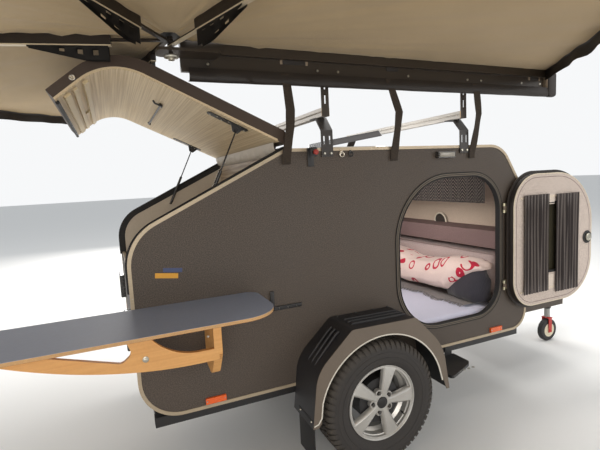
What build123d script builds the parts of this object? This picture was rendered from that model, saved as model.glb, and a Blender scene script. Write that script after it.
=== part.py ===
from build123d import *
import os
from math import cos, hypot, radians, sin, tan

# A teardrop camping trailer, parked on its wheels and jockey wheel, in millimetres.
# The origin is the centre of the tow ball's socket, +X is forward, +Y is left, +Z is up.
# Inside the model a place is a station, measured forward from the body's rear face,
# a y across from the centreline and a height above the ground.

# Body shell
BODY_LENGTH = 2580
BODY_WIDTH = 1400
UNDERSIDE_HEIGHT = 455
ROOF_HEIGHT = 1735
WALL_THICKNESS = 30
HATCH_HINGE_STATION = 806
TAIL_SLOPE = 25.8
NOSE_SETBACK = 227
NOSE_DROP = 350
REAR_PANEL_TOP = 1095
TAIL_LOW_RADIUS = 200
NOSE_LOW_RADIUS = 130
NOSE_RADIUS = 400
BROW_RADIUS = 190
HINGE_CORNER_RADIUS = 60
TAIL_TOP_RADIUS = 230
TRIM_THICKNESS = 3
TRIM_FACE_WIDTH = 14
TRIM_EDGE_WIDTH = 15

HALF_WIDTH = BODY_WIDTH / 2
INNER_HALF_WIDTH = HALF_WIDTH - WALL_THICKNESS

# Drawbar and ground
DRAWBAR_REACH = 1370
BALL_DROP = 55
BALL_SOCKET_RADIUS = 25.2
BALL_SOCKET_DEPTH = 24
BALL_STATION = BODY_LENGTH + DRAWBAR_REACH
BALL_HEIGHT = UNDERSIDE_HEIGHT - BALL_DROP

# Rear hatch
HATCH_OPEN_ANGLE = 51
HATCH_TAIL_LAP = 15
HATCH_GAP = 20
HATCH_TAIL_GAP = 8
LINING_THICKNESS = 4
HATCH_THICKNESS = 62
HATCH_TAIL_THICKNESS = 48
HATCH_FRONT_RADIUS = 45
HINGE_KNUCKLE_RADIUS = 6
HINGE_PIN_RADIUS = 3
HINGE_LEAF_WIDTH = 40
HINGE_LEAF_THICKNESS = 3
HINGE_WEB = 8
HINGE_SEGMENT = 100
PIN_CLEARANCE = 0.1
HATCH_TAIL_HEIGHT = REAR_PANEL_TOP - HATCH_TAIL_LAP

# Gas struts, with the foot placed from the hatch hinge and the roof
STRUT_FOOT_SETBACK = 426
STRUT_FOOT_DROP = 295
STRUT_EYE_REACH = 255
STRUT_EYE_DROP = -9
STRUT_WALL_GAP = 22
STRUT_CYLINDER_RADIUS = 9
STRUT_CYLINDER_LENGTH = 220
STRUT_ROD_RADIUS = 4
STRUT_BORE_CLEARANCE = 0.1
STRUT_FOOT_STATION = HATCH_HINGE_STATION - STRUT_FOOT_SETBACK
STRUT_FOOT_HEIGHT = ROOF_HEIGHT - STRUT_FOOT_DROP
STRUT_Y = INNER_HALF_WIDTH - STRUT_WALL_GAP

# Wheels and axle
WHEEL_STATION = 1212
WHEEL_RADIUS = 345
TYRE_WIDTH = 215
TYRE_BODY_GAP = 25
TYRE_WALL = 9
TYRE_CROWN = 16
RIM_SEAT_RADIUS = 191.7
RIM_LIP_RADIUS = 209
RIM_WALL = 6
SPOKE_COUNT = 5
SPOKE_ROOT_WIDTH = 30
SPOKE_TIP_WIDTH = 84
HUB_RADIUS = 50
LOBE_RADIUS = 21
WELL_DEPTH = 22
HUB_BORE_RADIUS = 33
BOLT_CIRCLE_DIAMETER = 112
BOLT_HOLE_RADIUS = 7
STUB_CLEARANCE = 0.05
DRUM_RADIUS = 125
AXLE_TUBE_SETBACK = 158
AXLE_TUBE_SIZE = 70
TYRE_INNER_Y = HALF_WIDTH + TYRE_BODY_GAP
AXLE_TUBE_STATION = WHEEL_STATION + AXLE_TUBE_SETBACK

# Side doors, with the rear lower corner placed from the wheel
DOOR_WHEEL_LAP = 50
DOOR_SILL_RISE = 268
DOOR_FRONT_STATION = 2326
DOOR_TOP_HEIGHT = 1542
DOOR_RADII = (300, 200, 230, 380)
DOOR_GAP = 6
DOOR_FLANGE_OVERLAP = 12
DOOR_FLANGE_THICKNESS = 4
DOOR_FLANGE_STANDOFF = 5
DOOR_LINING_THICKNESS = 6
DOOR_HINGE_SETBACK = 27
DOOR_HINGE_STANDOFF = 16
DOOR_HINGE_INSETS = (177, 226)
DOOR_HINGE_RADIUS = 8
DOOR_OPEN_ANGLE = 180
DOOR_WINDOW_WIDTH = 430
DOOR_WINDOW_HEIGHT = 480
DOOR_WINDOW_RADIUS = 60
DOOR_WINDOW_CENTRE = (420, 1085)
DOOR_FRAME_WIDTH = 24
DOOR_FRAME_THICKNESS = 3
DOOR_REAR_STATION = WHEEL_STATION + WHEEL_RADIUS - DOOR_WHEEL_LAP
DOOR_SILL_HEIGHT = WHEEL_RADIUS + DOOR_SILL_RISE
DOOR_HINGE_HEIGHTS = (DOOR_SILL_HEIGHT + DOOR_HINGE_INSETS[0], DOOR_TOP_HEIGHT - DOOR_HINGE_INSETS[1])

# Fenders. Each corner of the outline is an angle about the axle, from forward through
# up, and how far it lies beyond the tread, with the radius that rounds it.
FENDER_WIDTH = 250
FENDER_SKIN = 5
FENDER_CROWN_SKIN = 7
FENDER_CORNERS = ((-1.3, 94), (32.6, 128), (64.7, 151), (112.7, 148), (145.8, 135), (181.9, 88))
FENDER_CORNER_RADII = (300, 30, 30, 200)
ARCH_GAP = 46
ARCH_FRONT_ANGLE = 20
ARCH_REAR_ANGLE = 164
FENDER_FOOT_WIDTH = 20

# Chassis
RAIL_SIZE = 50
RAIL_INSET = 45
RAIL_WALL = 3
RAIL_END_INSET = 60
DRAWBAR_LAP = 630
DRAWBAR_REAR_Y = 480
DRAWBAR_FRONT_Y = 38
COUPLING_REACH = 170
RAIL_Y = HALF_WIDTH - RAIL_INSET
DRAWBAR_REAR_STATION = BODY_LENGTH - DRAWBAR_LAP
DRAWBAR_FRONT_STATION = BALL_STATION - COUPLING_REACH
CROSS_STATIONS = (90, 820, AXLE_TUBE_STATION, DRAWBAR_REAR_STATION, BODY_LENGTH - 100)

# Jockey wheel
JOCKEY_SETBACK = 450
JOCKEY_Y = -190
JOCKEY_TUBE_RADIUS = 24
JOCKEY_SLEEVE_WALL = 4
JOCKEY_SLEEVE_CLEARANCE = 0.1
JOCKEY_WHEEL_RADIUS = 100
JOCKEY_WHEEL_WIDTH = 50
JOCKEY_AXLE_RADIUS = 8
JOCKEY_FORK_THICKNESS = 5
JOCKEY_STATION = BALL_STATION - JOCKEY_SETBACK

# Tongue box
BOX_NOSE_GAP = 85
BOX_LENGTH = 600
BOX_HALF_WIDTH = 500
BOX_DEPTH = 345
BOX_WALL = 4
BOX_LID_DEPTH = 45
BOX_REAR_STATION = BODY_LENGTH + BOX_NOSE_GAP
BOX_FRONT_STATION = BOX_REAR_STATION + BOX_LENGTH
BOX_RIM_HEIGHT = UNDERSIDE_HEIGHT + BOX_DEPTH

# Roof rack and roof vent
CROSSBAR_STATIONS = (1049, 2018)
CROSSBAR_SIZE = 45
CROSSBAR_SLOT = 9
CROSSBAR_RISE = 192
RACK_FOOT_WIDTH = 70
RACK_FOOT_THICKNESS = 6
RACK_FOOT_DROP = 45
RACK_FOOT_BEND_RISE = 93
CROSSBAR_HEIGHT = ROOF_HEIGHT + CROSSBAR_RISE
VENT_STATION = 1560
VENT_SIZE = 420
VENT_FRAME_HEIGHT = 45
VENT_RIM_WIDTH = 30
VENT_OPEN_ANGLE = 9
VENT_DOME_HEIGHT = 42
VENT_SKIN = 4

# Awning, with its back plate placed from the side wall and the crossbars
AWNING_FRONT_STATION = 2690
AWNING_REAR_STATION = 300
AWNING_WALL_GAP = 28
AWNING_BACK_THICKNESS = 12
AWNING_RISE = 161
AWNING_BACK_DEPTH = 144
AWNING_RAIL_WIDTH = 25
ARM_PIVOT_STATION = 250
ARM_PIVOT_REACH = 92
ARM_LENGTH = 2450
ARM_WIDTH = 25
ARM_DEPTH = 45
ARM_WALL = 2
ARM_RISE = 82
ARM_START = 240
ARM_ANGLES = (-72, -126, -192, -258.5)
LUG_THICKNESS = 9
LUG_PITCH = 11
LUG_WIDTH = 26
ARM_PIN_RADIUS = 8
CANOPY_THICKNESS = 2
CANOPY_GAP = 0.6
AWNING_BACK_Y = -HALF_WIDTH - AWNING_WALL_GAP
AWNING_LOW_HEIGHT = CROSSBAR_HEIGHT + AWNING_RISE
AWNING_HIGH_HEIGHT = AWNING_LOW_HEIGHT + AWNING_BACK_DEPTH
ARM_PIVOT_Y = AWNING_BACK_Y - ARM_PIVOT_REACH
ARM_HEIGHT = AWNING_LOW_HEIGHT + ARM_RISE

# Side table, with points of its arm as a station and a drop below the board
TABLE_REAR_STATION = -660
TABLE_FRONT_STATION = 596
TABLE_DEPTH = 415
TABLE_TOP_HEIGHT = 1015
TABLE_THICKNESS = 15
TABLE_CORNER_RADIUS = 170
TABLE_BOARD = 21
TABLE_WING_STATION = 324
TABLE_WING_THICKNESS = 37
TABLE_WING_DEPTH = 215
TABLE_WING_DROP = 325
TABLE_ARM_BELLY = (-187, 165)
TABLE_ARM_END = (215, 163)
TABLE_ARM_SHOULDER = (110, 162)
TABLE_ARM_HEEL = 20
TABLE_ARM_OPENING = ((-450, 30), (-60, 150), (-18, 115), (-50, 30))

# Entry step
STEP_REAR_STATION = 1690
STEP_FRONT_STATION = 1932
STEP_DEPTH = 235
STEP_DROP = 70
STEP_THICKNESS = 8
STEP_HANGER_STATION = 1887
STEP_HANGER_WIDTH = 54
STEP_HEIGHT = UNDERSIDE_HEIGHT - STEP_DROP

# Lights
MARKER_STATIONS = (356, 2290)
MARKER_RISE = 35
TAIL_LAMP_DEPTH = 34
TAIL_LAMP_HEIGHTS = (800, 960)
LAMP_STATION = 1860
LAMP_DROP = 54
MARKER_HEIGHT = UNDERSIDE_HEIGHT + MARKER_RISE
LAMP_HEIGHT = ROOF_HEIGHT - LAMP_DROP

# Interior
FLOOR_THICKNESS = 30
BULKHEAD_STATION = 785
BULKHEAD_LOW_STATION = 520
BULKHEAD_THICKNESS = 15
COUNTER_HEIGHT = 1000
COUNTER_THICKNESS = 20
MATTRESS_THICKNESS = 150
DUVET_FOLD_DEPTH = 215
DUVET_FOLD_HEIGHT = 250
SOFT_GAP = 0.3
SHELF_LOW_HEIGHT = 1035
SHELF_HIGH_HEIGHT = 1155
SHELF_NOSE_REACH = 250
SHELF_STATION = BODY_LENGTH - SHELF_NOSE_REACH

SIDES = (("right", -1), ("left", 1))

REAR_X = -BALL_STATION
GROUND_Z = -BALL_HEIGHT
FLOOR_TOP = UNDERSIDE_HEIGHT + FLOOR_THICKNESS

os.makedirs("parts", exist_ok=True)


def side_plane(y):
    """A plane facing the right side at this y, with stations across and heights up."""
    return Plane(origin=(REAR_X, y, GROUND_Z), x_dir=(1, 0, 0), z_dir=(0, -1, 0))


def level_plane(height):
    """A level plane at this height, with stations along its x and y across."""
    return Plane(origin=(REAR_X, 0, GROUND_Z + height), x_dir=(1, 0, 0), z_dir=(0, 0, 1))


def cross_plane(station):
    """An upright plane facing forward at this station, with y across and heights up."""
    return Plane(origin=(REAR_X + station, 0, GROUND_Z), x_dir=(0, 1, 0), z_dir=(1, 0, 0))


def block(stations, ys, heights, mode=Mode.ADD):
    """Add a square block between two stations, two y values and two heights."""
    corner = (REAR_X + stations[0], ys[0], GROUND_Z + heights[0])
    size = (stations[1] - stations[0], ys[1] - ys[0], heights[1] - heights[0])
    with Locations(corner):
        Box(*size, align=(Align.MIN, Align.MIN, Align.MIN), mode=mode)


def cross_rod(station, height, radius, ys, mode=Mode.ADD):
    """Add a round rod across the trailer, between two y values."""
    with Locations((REAR_X + station, (ys[0] + ys[1]) / 2, GROUND_Z + height)):
        Cylinder(radius, ys[1] - ys[0], rotation=(90, 0, 0), mode=mode)


def post(station, y, radius, heights, mode=Mode.ADD):
    """Add an upright round post between two heights."""
    with Locations((REAR_X + station, y, GROUND_Z + heights[0])):
        Cylinder(
            radius, heights[1] - heights[0], align=(Align.CENTER, Align.CENTER, Align.MIN), mode=mode
        )


def inset_corners(corners, inset):
    """The corners of a convex outline, listed anticlockwise, stepped in by inset."""
    stepped = []
    for index, corner in enumerate(corners):
        here = Vector(*corner)
        arriving = (here - Vector(*corners[index - 1])).normalized()
        leaving = (Vector(*corners[(index + 1) % len(corners)]) - here).normalized()
        normals = Vector(-arriving.Y - leaving.Y, arriving.X + leaving.X)
        moved = here + normals * (inset / (1 + arriving.dot(leaving)))
        stepped.append((moved.X, moved.Y))
    return stepped


def rounded_outline(corners, radii, inset=0, mode=Mode.ADD):
    """A face inside a convex outline with its own radius at each corner."""
    with BuildLine() as outline:
        FilletPolyline(
            *inset_corners(corners, inset), radius=[radius - inset for radius in radii], close=True
        )
    make_face(outline.edges(), mode=mode)


TAIL_HEIGHT = ROOF_HEIGHT - HATCH_HINGE_STATION * tan(radians(TAIL_SLOPE))
BODY_CORNERS = [
    (0, UNDERSIDE_HEIGHT),
    (BODY_LENGTH, UNDERSIDE_HEIGHT),
    (BODY_LENGTH, ROOF_HEIGHT - NOSE_DROP),
    (BODY_LENGTH - NOSE_SETBACK, ROOF_HEIGHT),
    (HATCH_HINGE_STATION, ROOF_HEIGHT),
    (0, TAIL_HEIGHT),
]
BODY_RADII = [
    TAIL_LOW_RADIUS,
    NOSE_LOW_RADIUS,
    NOSE_RADIUS,
    BROW_RADIUS,
    HINGE_CORNER_RADIUS,
    TAIL_TOP_RADIUS,
]
DOOR_CORNERS = [
    (DOOR_REAR_STATION, DOOR_SILL_HEIGHT),
    (DOOR_FRONT_STATION, DOOR_SILL_HEIGHT),
    (DOOR_FRONT_STATION, DOOR_TOP_HEIGHT),
    (DOOR_REAR_STATION, DOOR_TOP_HEIGHT),
]


def body_profile(inset=0, mode=Mode.ADD):
    """The body's side outline, from the hatch's cut line round the nose and the floor."""
    rounded_outline(BODY_CORNERS, BODY_RADII, inset, mode)


def door_profile(inset=0, mode=Mode.ADD):
    """The outline of a door opening in its side wall."""
    rounded_outline(DOOR_CORNERS, DOOR_RADII, inset, mode)


def keep_window(stations, heights):
    """Keep only what lies between two stations and two heights of the sketch."""
    with Locations(((stations[0] + stations[1]) / 2, (heights[0] + heights[1]) / 2)):
        Rectangle(stations[1] - stations[0], heights[1] - heights[0], mode=Mode.INTERSECT)


# Side walls, each one flat sandwich panel with its door opening
for side_name, side in SIDES:
    with BuildPart() as side_wall:
        with BuildSketch(side_plane(side * INNER_HALF_WIDTH)):
            body_profile()
            door_profile(mode=Mode.SUBTRACT)
        extrude(amount=-side * WALL_THICKNESS)
    side_wall.part.label = f"side_wall_{side_name}"
    export_step(side_wall.part, f"parts/side_wall_{side_name}.step")

# Roof and nose, one curved panel between the side walls, from the hatch hinge to the floor
with BuildPart() as roof_and_nose:
    with BuildSketch(side_plane(INNER_HALF_WIDTH)):
        body_profile()
        body_profile(WALL_THICKNESS, mode=Mode.SUBTRACT)
        with Locations((HATCH_HINGE_STATION, FLOOR_TOP)):
            Rectangle(
                BODY_LENGTH - NOSE_LOW_RADIUS - HATCH_HINGE_STATION,
                WALL_THICKNESS,
                align=(Align.MIN, Align.MIN),
                mode=Mode.SUBTRACT,
            )
        keep_window((HATCH_HINGE_STATION, BODY_LENGTH), (FLOOR_TOP, ROOF_HEIGHT))
    extrude(amount=2 * INNER_HALF_WIDTH)
    vent_hole = VENT_SIZE / 2 - VENT_RIM_WIDTH
    block(
        (VENT_STATION - vent_hole, VENT_STATION + vent_hole),
        (-vent_hole, vent_hole),
        (ROOF_HEIGHT - WALL_THICKNESS, ROOF_HEIGHT),
        mode=Mode.SUBTRACT,
    )
roof_and_nose.part.label = "roof_and_nose"
export_step(roof_and_nose.part, "parts/roof_and_nose.step")

# Lower rear panel, curved under at its foot
with BuildPart() as rear_panel:
    with BuildSketch(side_plane(INNER_HALF_WIDTH)):
        body_profile()
        body_profile(WALL_THICKNESS, mode=Mode.SUBTRACT)
        keep_window((0, TAIL_LOW_RADIUS), (FLOOR_TOP, REAR_PANEL_TOP))
    extrude(amount=2 * INNER_HALF_WIDTH)
rear_panel.part.label = "rear_panel"
export_step(rear_panel.part, "parts/rear_panel.step")

# Floor
with BuildPart() as floor_panel:
    with BuildSketch(side_plane(INNER_HALF_WIDTH)):
        body_profile()
        keep_window((0, BODY_LENGTH), (UNDERSIDE_HEIGHT, FLOOR_TOP))
    extrude(amount=2 * INNER_HALF_WIDTH)
floor_panel.part.label = "floor_panel"
export_step(floor_panel.part, "parts/floor_panel.step")

# Aluminium edging, an angle that laps round the outline of each side wall
with BuildPart() as edge_trims:
    for side_name, side in SIDES:
        with BuildSketch(side_plane(side * (HALF_WIDTH - TRIM_EDGE_WIDTH))):
            body_profile(-TRIM_THICKNESS)
            body_profile(mode=Mode.SUBTRACT)
        extrude(amount=-side * (TRIM_EDGE_WIDTH + TRIM_THICKNESS))
        with BuildSketch(side_plane(side * HALF_WIDTH)):
            body_profile()
            body_profile(TRIM_FACE_WIDTH, mode=Mode.SUBTRACT)
        extrude(amount=-side * TRIM_THICKNESS)
edge_trims.part.label = "edge_trims"
export_step(edge_trims.part, "parts/edge_trims.step")

# Door surrounds, a flat aluminium ring round each opening on the wall's outer face
with BuildPart() as door_frames:
    for side_name, side in SIDES:
        with BuildSketch(side_plane(side * HALF_WIDTH)):
            door_profile(-DOOR_FRAME_WIDTH)
            door_profile(mode=Mode.SUBTRACT)
        extrude(amount=-side * DOOR_FRAME_THICKNESS)
door_frames.part.label = "door_frames"
export_step(door_frames.part, "parts/door_frames.step")

# Rear hatch. Its sections are drawn closed, from the hinge corner of the wall,
# and placed on a plane turned up to the open angle about the hinge.
HATCH_AXIS_HEIGHT = ROOF_HEIGHT + HINGE_KNUCKLE_RADIUS
slope_cos = cos(radians(TAIL_SLOPE))
slope_sin = sin(radians(TAIL_SLOPE))


def hatch_plane(y):
    """The side plane of the hatch at this y, opened about the hinge pin."""
    turn = radians(HATCH_OPEN_ANGLE)
    return Plane(
        origin=(REAR_X + HATCH_HINGE_STATION, y, GROUND_Z + HATCH_AXIS_HEIGHT),
        x_dir=(cos(turn), 0, -sin(turn)),
        z_dir=(0, -1, 0),
    )


def hatch_point(along, proud):
    """A point of the closed hatch, along its slope from the hinge and proud of the cut line."""
    return (
        -along * slope_cos - proud * slope_sin,
        -along * slope_sin + proud * slope_cos - HINGE_KNUCKLE_RADIUS,
    )


HATCH_INSIDE = (HATCH_GAP, HATCH_TAIL_GAP)
HATCH_MIDDLE = (HATCH_GAP + LINING_THICKNESS, HATCH_TAIL_GAP + LINING_THICKNESS)
HATCH_OUTSIDE = (HATCH_MIDDLE[0] + HATCH_THICKNESS, HATCH_MIDDLE[1] + HATCH_TAIL_THICKNESS)


def hatch_layer(inner, outer, start, front_radius=0):
    """A curved layer of the hatch between two faces, from this far along the slope.

    Each face is how far it is proud of the wall's cut line and of the rear panel."""
    ends = []
    for slope_proud, tail_proud in (inner, outer):
        run = HATCH_HINGE_STATION + tail_proud
        corner_drop = run * slope_sin / slope_cos - slope_proud / slope_cos + HINGE_KNUCKLE_RADIUS
        tail = (-run, HATCH_TAIL_HEIGHT - HATCH_AXIS_HEIGHT)
        bend = TAIL_TOP_RADIUS + tail_proud
        ends.append((hatch_point(start, slope_proud), (-run, -corner_drop), tail, bend))
    (front_in, corner_in, tail_in, bend_in), (front_out, corner_out, tail_out, bend_out) = ends
    with BuildLine() as outline:
        FilletPolyline(front_out, corner_out, tail_out, radius=bend_out)
        Line(tail_out, tail_in)
        FilletPolyline(tail_in, corner_in, front_in, radius=bend_in)
        Line(front_in, front_out)
    make_face(outline.edges())
    if front_radius:
        fillet(vertices().sort_by_distance((*front_out, 0))[0], front_radius)


with BuildPart() as hatch_shell:
    with BuildSketch(hatch_plane(HALF_WIDTH)):
        hatch_layer(HATCH_MIDDLE, HATCH_OUTSIDE, 0, HATCH_FRONT_RADIUS)
    extrude(amount=BODY_WIDTH)
hatch_shell.part.label = "hatch_shell"
export_step(hatch_shell.part, "parts/hatch_shell.step")

with BuildPart() as hatch_lining:
    with BuildSketch(hatch_plane(HALF_WIDTH)):
        hatch_layer(HATCH_INSIDE, HATCH_MIDDLE, HINGE_LEAF_WIDTH)
    extrude(amount=BODY_WIDTH)
hatch_lining.part.label = "hatch_lining"
export_step(hatch_lining.part, "parts/hatch_lining.step")

# Gas struts. Each cylinder turns on a stud of the side wall and its rod ends at the
# hatch in an eye, beside the hatch's own bracket.
eye_x, eye_z = hatch_point(STRUT_EYE_REACH, STRUT_EYE_DROP)
open_turn = radians(HATCH_OPEN_ANGLE)
EYE_STATION = HATCH_HINGE_STATION + eye_x * cos(open_turn) + eye_z * sin(open_turn)
EYE_HEIGHT = HATCH_AXIS_HEIGHT - eye_x * sin(open_turn) + eye_z * cos(open_turn)
strut_run = EYE_STATION - STRUT_FOOT_STATION
strut_rise = EYE_HEIGHT - STRUT_FOOT_HEIGHT
STRUT_LENGTH = hypot(strut_run, strut_rise)
STUD_RADIUS = 4
EYE_RADIUS = 8
EYE_WIDTH = 10


def strut_plane(y):
    """A side plane at a strut's foot, with its x along the strut."""
    return Plane(
        origin=(REAR_X + STRUT_FOOT_STATION, y, GROUND_Z + STRUT_FOOT_HEIGHT),
        x_dir=(strut_run, 0, strut_rise),
        z_dir=(0, -1, 0),
    )


def strut_axis_plane(y, along):
    """A plane square to a strut, this far along it."""
    foot = strut_plane(y)
    return Plane(origin=foot.origin + foot.x_dir * along, x_dir=(0, 1, 0), z_dir=foot.x_dir)


for side_name, side in SIDES:
    with BuildPart() as strut_cylinder:
        with BuildSketch(strut_axis_plane(side * STRUT_Y, EYE_RADIUS)):
            Circle(STRUT_CYLINDER_RADIUS)
        extrude(amount=STRUT_CYLINDER_LENGTH - EYE_RADIUS)
        with BuildSketch(strut_plane(side * STRUT_Y + EYE_WIDTH / 2)):
            Circle(EYE_RADIUS)
            with Locations((EYE_RADIUS, 0)):
                Rectangle(EYE_RADIUS, EYE_RADIUS)
        extrude(amount=EYE_WIDTH)
        with BuildSketch(strut_plane(side * STRUT_Y + EYE_WIDTH / 2)):
            Circle(STUD_RADIUS + PIN_CLEARANCE)
        extrude(amount=EYE_WIDTH, mode=Mode.SUBTRACT)
        with BuildSketch(strut_axis_plane(side * STRUT_Y, 3 * EYE_RADIUS)):
            Circle(STRUT_ROD_RADIUS + STRUT_BORE_CLEARANCE)
        extrude(amount=STRUT_CYLINDER_LENGTH, mode=Mode.SUBTRACT)
    strut_cylinder.part.label = f"strut_cylinder_{side_name}"
    export_step(strut_cylinder.part, f"parts/strut_cylinder_{side_name}.step")

    with BuildPart() as strut_rod:
        with BuildSketch(strut_axis_plane(side * STRUT_Y, STRUT_CYLINDER_LENGTH - EYE_WIDTH)):
            Circle(STRUT_ROD_RADIUS)
        extrude(amount=STRUT_LENGTH - STRUT_CYLINDER_LENGTH + EYE_WIDTH)
        with BuildSketch(strut_plane(side * STRUT_Y + EYE_WIDTH / 2)):
            with Locations((STRUT_LENGTH, 0)):
                Circle(EYE_RADIUS)
        extrude(amount=EYE_WIDTH)
    strut_rod.part.label = f"strut_rod_{side_name}"
    export_step(strut_rod.part, f"parts/strut_rod_{side_name}.step")

# Hatch hinge and strut ends on the root. Knuckles turn about turn on one pin, the leaf
# lies on the roof, and a collared stud on each wall carries the foot of a strut.
segment_count = int(2 * INNER_HALF_WIDTH / HINGE_SEGMENT)
first_segment = -segment_count * HINGE_SEGMENT / 2
SEGMENT_GAP = 1
STUD_GAP = 0.5

with BuildPart() as hatch_mountings:
    block(
        (HATCH_HINGE_STATION, HATCH_HINGE_STATION + HINGE_LEAF_WIDTH),
        (-INNER_HALF_WIDTH, INNER_HALF_WIDTH),
        (ROOF_HEIGHT, ROOF_HEIGHT + HINGE_LEAF_THICKNESS),
    )
    for index in range(segment_count):
        start = first_segment + index * HINGE_SEGMENT
        if index % 2:
            cross_rod(
                HATCH_HINGE_STATION,
                HATCH_AXIS_HEIGHT,
                HINGE_KNUCKLE_RADIUS + SEGMENT_GAP,
                (start, start + HINGE_SEGMENT),
                mode=Mode.SUBTRACT,
            )
        else:
            cross_rod(
                HATCH_HINGE_STATION,
                HATCH_AXIS_HEIGHT,
                HINGE_KNUCKLE_RADIUS,
                (start + SEGMENT_GAP, start + HINGE_SEGMENT - SEGMENT_GAP),
            )
    cross_rod(
        HATCH_HINGE_STATION,
        HATCH_AXIS_HEIGHT,
        HINGE_PIN_RADIUS,
        (first_segment + SEGMENT_GAP, -first_segment - SEGMENT_GAP),
    )
    for side_name, side in SIDES:
        outer = side * INNER_HALF_WIDTH
        inner = side * (STRUT_Y - EYE_WIDTH / 2)
        collar = side * (STRUT_Y + EYE_WIDTH / 2 + STUD_GAP)
        cross_rod(STRUT_FOOT_STATION, STRUT_FOOT_HEIGHT, STUD_RADIUS, sorted((outer, inner)))
        cross_rod(STRUT_FOOT_STATION, STRUT_FOOT_HEIGHT, 2 * STUD_RADIUS, sorted((outer, collar)))
hatch_mountings.part.label = "hatch_mountings"
export_step(hatch_mountings.part, "parts/hatch_mountings.step")

# Hatch side of the hinge and of the struts, a leaf under the shell where the lining
# stops short, and a bracket on the lining beside each strut's eye
BRACKET_THICKNESS = 6
BRACKET_GAP = 1
BRACKET_HALF_LENGTH = 40
BRACKET_TIP_HALF = 14
BRACKET_TIP_DEPTH = 12
leaf_outer = HATCH_MIDDLE[0]
with BuildPart() as hatch_fittings:
    for index in range(1, segment_count, 2):
        start = first_segment + index * HINGE_SEGMENT
        with BuildSketch(hatch_plane(start + HINGE_SEGMENT - SEGMENT_GAP)):
            Circle(HINGE_KNUCKLE_RADIUS)
            Polygon(
                hatch_point(-HINGE_WEB / 2, HINGE_KNUCKLE_RADIUS),
                hatch_point(-HINGE_WEB / 2, leaf_outer),
                hatch_point(HINGE_LEAF_WIDTH - SEGMENT_GAP, leaf_outer),
                hatch_point(HINGE_LEAF_WIDTH - SEGMENT_GAP, leaf_outer - HINGE_LEAF_THICKNESS),
                hatch_point(HINGE_WEB / 2, leaf_outer - HINGE_LEAF_THICKNESS),
                hatch_point(HINGE_WEB / 2, HINGE_KNUCKLE_RADIUS),
                align=None,
            )
            Circle(HINGE_PIN_RADIUS + PIN_CLEARANCE, mode=Mode.SUBTRACT)
        extrude(amount=HINGE_SEGMENT - 2 * SEGMENT_GAP)
    for side in (-1, 1):
        bracket_y = side * (STRUT_Y - EYE_WIDTH / 2 - BRACKET_GAP - BRACKET_THICKNESS / 2)
        with BuildSketch(hatch_plane(bracket_y + BRACKET_THICKNESS / 2)):
            Polygon(
                hatch_point(STRUT_EYE_REACH - BRACKET_HALF_LENGTH, HATCH_GAP),
                hatch_point(STRUT_EYE_REACH + BRACKET_HALF_LENGTH, HATCH_GAP),
                hatch_point(STRUT_EYE_REACH + BRACKET_TIP_HALF, STRUT_EYE_DROP - BRACKET_TIP_DEPTH),
                hatch_point(STRUT_EYE_REACH - BRACKET_TIP_HALF, STRUT_EYE_DROP - BRACKET_TIP_DEPTH),
                align=None,
            )
        extrude(amount=BRACKET_THICKNESS)
hatch_fittings.part.label = "hatch_fittings"
export_step(hatch_fittings.part, "parts/hatch_fittings.step")

# Side doors. Each is drawn from its hinge axis on a plane turned to its own angle,
# with distances from the axis to the latch side across and heights up.
HINGE_STATION = DOOR_FRONT_STATION + DOOR_HINGE_SETBACK
LEAF_CORNERS = [(HINGE_STATION - station, height) for station, height in reversed(DOOR_CORNERS)]
LEAF_CORNERS = LEAF_CORNERS[2:] + LEAF_CORNERS[:2]
LEAF_RADII = [DOOR_RADII[1], DOOR_RADII[0], DOOR_RADII[3], DOOR_RADII[2]]
DOOR_ANGLES = {"right": DOOR_OPEN_ANGLE, "left": 0}
FLANGE_DEPTH = DOOR_HINGE_STANDOFF - DOOR_FLANGE_STANDOFF
BLOCK_DEPTH = FLANGE_DEPTH - DOOR_FLANGE_THICKNESS
LEAF_THICKNESS = WALL_THICKNESS


def leaf_plane(side, angle, depth):
    """A door's own plane, this deep inside its hinge axis, opened by an angle."""
    turn = radians(angle)
    across = Vector(-cos(turn), side * sin(turn), 0)
    inward = Vector(across.Y, -across.X, 0) * -side
    axis_foot = Vector(REAR_X + HINGE_STATION, side * (HALF_WIDTH + DOOR_HINGE_STANDOFF), GROUND_Z)
    return Plane(
        origin=axis_foot + inward * depth, x_dir=across, z_dir=Vector(across.Y, -across.X, 0)
    )


def window_shape(inset=0, mode=Mode.ADD):
    """The rounded window in a door."""
    with Locations(DOOR_WINDOW_CENTRE):
        RectangleRounded(
            DOOR_WINDOW_WIDTH - 2 * inset,
            DOOR_WINDOW_HEIGHT - 2 * inset,
            DOOR_WINDOW_RADIUS - inset,
            mode=mode,
        )


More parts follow.
